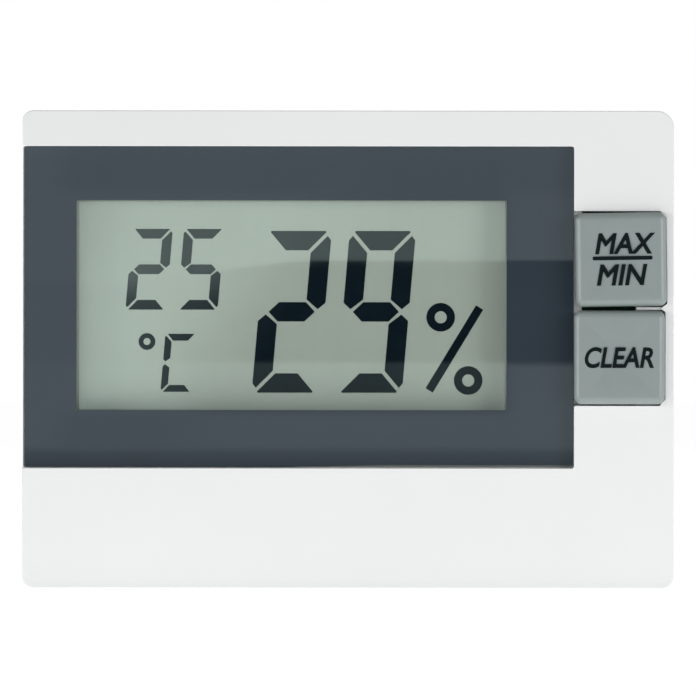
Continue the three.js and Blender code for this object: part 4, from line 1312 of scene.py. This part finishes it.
class HYGRO_OT_case_screws(bpy.types.Operator):
    """Models a pan-head screw with a cross recess, and copies it into the four bores"""
    bl_idname = "hygro.case_screws"
    bl_label = "Case screws"

    def execute(self, context):
        pieces = [pan_head_screw("shell_screw_1", "case_screw_1")]
        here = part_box("case_screw_1")[0]
        for i in range(2, 5):
            piece = duplicate(pieces[0], f"shell_screw_{i}")
            select_only(piece)
            piece.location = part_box(f"case_screw_{i}")[0] - here
            bpy.ops.object.transform_apply(location=True, rotation=False, scale=False)
            pieces.append(piece)
        # Zinc-plated steel, tumbled bright: pale grey with a fine uneven sheen
        zinc = plated("zinc_plate_case", linear("#BFC1C2"), 0.3, 0.12)
        for i, piece in enumerate(pieces, 1):
            dress(piece, zinc, "case", "steel", f"case_screw_{i}")
        return {"FINISHED"}


class HYGRO_OT_inner_parts(bpy.types.Operator):
    """Finishes the solids inside the case: glass, films, board, contacts and cell"""
    bl_idname = "hygro.inner_parts"
    bl_label = "Inner parts"

    def execute(self, context):
        finishes = [
            # Thin float glass between the crystal and the reflector: clear, faintly green
            ("lcd_rear_glass", clear_sheet("float_glass_rear", "#FBFDFC")),
            ("zebra_strip", striped_rubber()),
            ("circuit_board", printed_board()),
        ]
        for make, table in ((moulded, MOULDED_SOLIDS), (plated, METAL_SOLIDS)):
            for nodes, name, base, *sizes in table:
                finishes.append((nodes, make(name, linear(base), *sizes)))
        for nodes, material in finishes:
            for node in nodes.split():
                materials = frame["nodes"][node].data.materials
                materials.clear()
                materials.append(material)
        return {"FINISHED"}


# Stage

def lamp(name, place, target, size, watts):
    """A soft rectangular lamp that points at a target."""
    light = bpy.data.lights.new(name, "AREA")
    light.shape = "RECTANGLE"
    light.size, light.size_y = size
    light.energy = watts
    source = bpy.data.objects.new(name, light)
    bpy.context.scene.collection.objects.link(source)
    source.location = place
    source.rotation_euler = (Vector(target) - Vector(place)).to_track_quat("-Z", "Y").to_euler()


def seen_directly(tree):
    """One for the camera's rays and for mirrored or refracted ones, nought for soft light."""
    path = add(tree, "LightPath")
    camera, glossy, through = (path.outputs[f"Is {kind} Ray"]
                               for kind in ("Camera", "Glossy", "Transmission"))
    seen = add(tree, "Math", {"operation": "ADD"}, {0: camera, 1: glossy})
    return add(tree, "Math", {"operation": "ADD", "use_clamp": True}, {0: seen, 1: through})


def white_surround(studio):
    """A surround that is white to the eye and in reflections, and gives a softer even light."""
    world = bpy.data.worlds.new("surround")
    bpy.context.scene.world = world
    world.use_nodes = True
    tree = world.node_tree
    tree.nodes.clear()
    strength = add(tree, "MapRange", {"To Min": studio.sky, "To Max": 1.0},
                   {"Value": seen_directly(tree)})
    light = add(tree, "Background", {"Color": (1, 1, 1, 1)}, {"Strength": strength})
    add(tree, "OutputWorld", None, {"Surface": light})


def soft_steps(tree, *steps):
    """Soft steps from one value to another between two places in millimetres, multiplied."""
    result = None
    for source, start, end, low, high in steps:
        settings = {"interpolation_type": "SMOOTHSTEP", "From Min": start * MM,
                    "From Max": end * MM, "To Min": low, "To Max": high}
        step = add(tree, "MapRange", settings, {"Value": source})
        if result:
            step = add(tree, "Math", {"operation": "MULTIPLY"}, {0: result, 1: step})
        result = step
    return result


def pale_floor(studio):
    """A pale matte floor that looks white, takes the object's shadow and lights it from below."""
    select_only()
    bpy.ops.mesh.primitive_plane_add(size=3, location=(0, 0, -2 * HAIR))
    floor = open_new("floor")
    select_only()
    # Matte white paper: plain, as a studio's ground is
    material, tree, shader = start_material("floor_pale_matte")
    add(tree, shader, {"Base Color": linear("#F2F2F2"), "Roughness": 0.9})
    seen = seen_directly(tree)
    place = add(tree, "TexCoord").outputs["Object"]
    depth = add(tree, "SeparateXYZ", None, {0: place}).outputs["Y"]
    from_case = add(tree, "Math", {"operation": "ABSOLUTE"}, {0: depth})
    # The floor's glow is painted light: brighter near the case, with a painted shadow right at the
    # case's foot
    lit = soft_steps(tree, (depth, -350, -100, 0.35, 1.0), (from_case, 7.9, 9.1, 0.9, 1.0))
    glow = add(tree, "Math", {"operation": "MULTIPLY", 1: studio.floor_glow}, {0: lit})
    strength = add(tree, "Mix", {"data_type": "FLOAT", 3: 1.12}, {0: seen, 2: glow})
    share = add(tree, "MapRange", {"To Min": 1.0, "To Max": 0.85}, {"Value": seen})
    white = add(tree, "Emission", {"Color": (1, 1, 1, 1)}, {"Strength": strength})
    mixed = add(tree, "MixShader", None, {0: share, 1: shader, 2: white})
    add(tree, tree.nodes["Material Output"], None, {"Surface": mixed})
    floor.data.materials.append(material)


def reflected_card(name, place, size, shade):
    """An upright card that only reflections see, glowing by a function of its nodes as a painted
    reflection.
    """
    select_only()
    bpy.ops.mesh.primitive_plane_add(size=1, location=place, rotation=(math.pi / 2, 0, 0))
    card = open_new(name, (*size, 1))
    select_only()
    material, tree, shader = start_material(name)
    tree.nodes.remove(shader)
    place = add(tree, "TexCoord").outputs["Object"]
    parts = add(tree, "SeparateXYZ", None, {0: place})
    light = shade(tree, parts.outputs["X"], parts.outputs["Z"])
    add(tree, tree.nodes["Material Output"], None, {"Surface": light})
    card.data.materials.append(material)
    card.visible_camera = False
    card.visible_diffuse = False
    card.visible_transmission = False
    card.visible_shadow = False


def painted_reflection_band(tree, across, up):
    """A painted reflection for the polished surfaces to mirror: pale, with a painted dark band,
    painted shade and a painted highlight at the left.
    """
    lean = soft_steps(tree, (up, 16, 37, -5 * MM, 4 * MM))
    slant = add(tree, "Math", {"operation": "SUBTRACT"}, {0: across, 1: lean})
    rise = soft_steps(tree, (across, -44, -4, 4 * MM, 0.0))
    height = add(tree, "Math", {"operation": "ADD"}, {0: up, 1: rise})
    shades = (
        # Painted shade in the reflection: the band
        ((slant, -36, -9, 0.12, 1), (up, 17.6, 19.4, 0, 1), (height, 37.4, 36.7, 0, 1)),
        # Above it at the right end, and at its right
        ((across, -56, -47, 0, 0.2), (up, 47, 51, 0, 1)),
        ((across, -17, 9, 0, 0.25), (across, 31, 26, 0, 1), (up, 30, 36, 0, 1)),
        # Below it, and at its left
        ((across, -37, -20, 0, 0.45), (across, 31, 26, 0, 1), (up, 8.5, 11, 0, 1),
         (up, 24, 19, 0, 1)),
        ((across, -56, -48, 0, 0.17), (across, -18, -36, 0, 1), (up, 11, 8.5, 0, 1)),
        # Along the lowest edge
        ((up, 4.2, 2.2, 0, 0.5),),
    )
    dark = soft_steps(tree, *shades[0])
    for steps in shades[1:]:
        dark = add(tree, "Math", {"operation": "MAXIMUM"},
                   {0: dark, 1: soft_steps(tree, *steps)})
    # Painted highlight in the reflection: the card glows brighter towards its left
    glow = soft_steps(tree, (across, -28, -44, 0, 0.4), (up, 50, 30, 0, 1), (up, 10, 14, 0, 1),
                      (across, -49, -46, 0, 1))
    light = add(tree, "MapRange", {"To Min": 1.0, "To Max": 0.0}, {"Value": dark})
    strength = add(tree, "Math", {"operation": "ADD"}, {0: light, 1: glow})
    return add(tree, "Emission", {"Color": (0.86, 0.98, 1.0, 1)}, {"Strength": strength})


def painted_dim_reflection(tree, across, up):
    """A painted reflection behind the camera: the card glows dimly in its middle and turns clear
    towards its left and right ends, where the white surround shows.
    """
    dark = soft_steps(tree, (across, -450, -250, 0, 1), (across, 450, 250, 0, 1),
                      (up, 450, 250, 0, 1))
    glow = add(tree, "Emission", {"Color": (0.95, 1.0, 1.0, 1), "Strength": 0.35})
    clear = add(tree, "BsdfTransparent")
    return add(tree, "MixShader", None, {0: dark, 1: clear, 2: glow})


class HYGRO_OT_stage(bpy.types.Operator):
    """Sets the camera level with the case, the soft lamps, the white surround and the floor"""
    bl_idname = "hygro.stage"
    bl_label = "Stage"

    def execute(self, context):
        scene = context.scene
        studio = scene.hygrometer_studio
        scene.view_settings.view_transform = "Standard"
        lens = bpy.data.cameras.new("camera")
        lens.sensor_fit = "HORIZONTAL"
        lens.angle = 2 * math.atan(studio.view_width / 2 / studio.camera_distance)
        lens.clip_start = 0.01
        camera = bpy.data.objects.new("camera", lens)
        camera_y = FRONT - studio.camera_distance
        camera.location = (0, camera_y, studio.camera_height)
        camera.rotation_euler = (math.pi / 2, studio.camera_roll, 0)
        scene.collection.objects.link(camera)
        scene.camera = camera
        white_surround(studio)
        pale_floor(studio)
        # Two cards that only reflections see, whose glow paints what the polished surfaces mirror
        reflected_card("shaded_card", (0, camera_y, 30 * MM), (160 * MM, 80 * MM), painted_reflection_band)
        reflected_card("dim_card", (0, camera_y - 50 * MM, 225 * MM), (0.9, 0.45), painted_dim_reflection)
        front, back = (0, FRONT, 15 * MM), (0, BACK, 20 * MM)
        small, large = (0.16, 0.10), (0.30, 0.20)
        lamp("left_lamp", (-0.37, -0.15, 0.06), front, small, studio.left_lamp)
        lamp("right_lamp", (0.30, -0.24, 0.06), front, small, studio.right_lamp)
        lamp("back_lamp", (0.12, 0.45, 0.30), back, large, studio.back_lamp)
        return {"FINISHED"}


# Add-on

OPERATORS = (
    HYGRO_OT_front_shell, HYGRO_OT_rear_shell, HYGRO_OT_lens, HYGRO_OT_glass, HYGRO_OT_display,
    HYGRO_OT_keys, HYGRO_OT_domes, HYGRO_OT_labels, HYGRO_OT_door, HYGRO_OT_stand_leg,
    HYGRO_OT_case_screws, HYGRO_OT_inner_parts, HYGRO_OT_stage,
)
SETTINGS = {
    "hygrometer_shape": ShapeSettings,
    "hygrometer_finish": FinishSettings,
    "hygrometer_studio": StudioSettings,
}


class HYGRO_PT_panel(bpy.types.Panel):
    """Lists the steps that build the thermo-hygrometer"""
    bl_idname = "HYGRO_PT_panel"
    bl_label = "Thermo-hygrometer"
    bl_space_type = "VIEW_3D"
    bl_region_type = "UI"
    bl_category = "Thermo-hygrometer"

    def draw(self, context):
        for name, group in SETTINGS.items():
            for key in group.__annotations__:
                self.layout.prop(getattr(context.scene, name), key)
        for operator in OPERATORS:
            self.layout.operator(operator.bl_idname)


CLASSES = (*SETTINGS.values(), *OPERATORS, HYGRO_PT_panel)


def register():
    for kind in CLASSES:
        bpy.utils.register_class(kind)
    for name, group in SETTINGS.items():
        setattr(bpy.types.Scene, name, bpy.props.PointerProperty(type=group))


def unregister():
    for name in SETTINGS:
        delattr(bpy.types.Scene, name)
    for kind in reversed(CLASSES):
        bpy.utils.unregister_class(kind)


def main():
    register()
    for operator in OPERATORS:
        getattr(bpy.ops.hygro, operator.bl_idname.split(".")[1])()
    select_only()


if __name__ == "__main__":
    main()
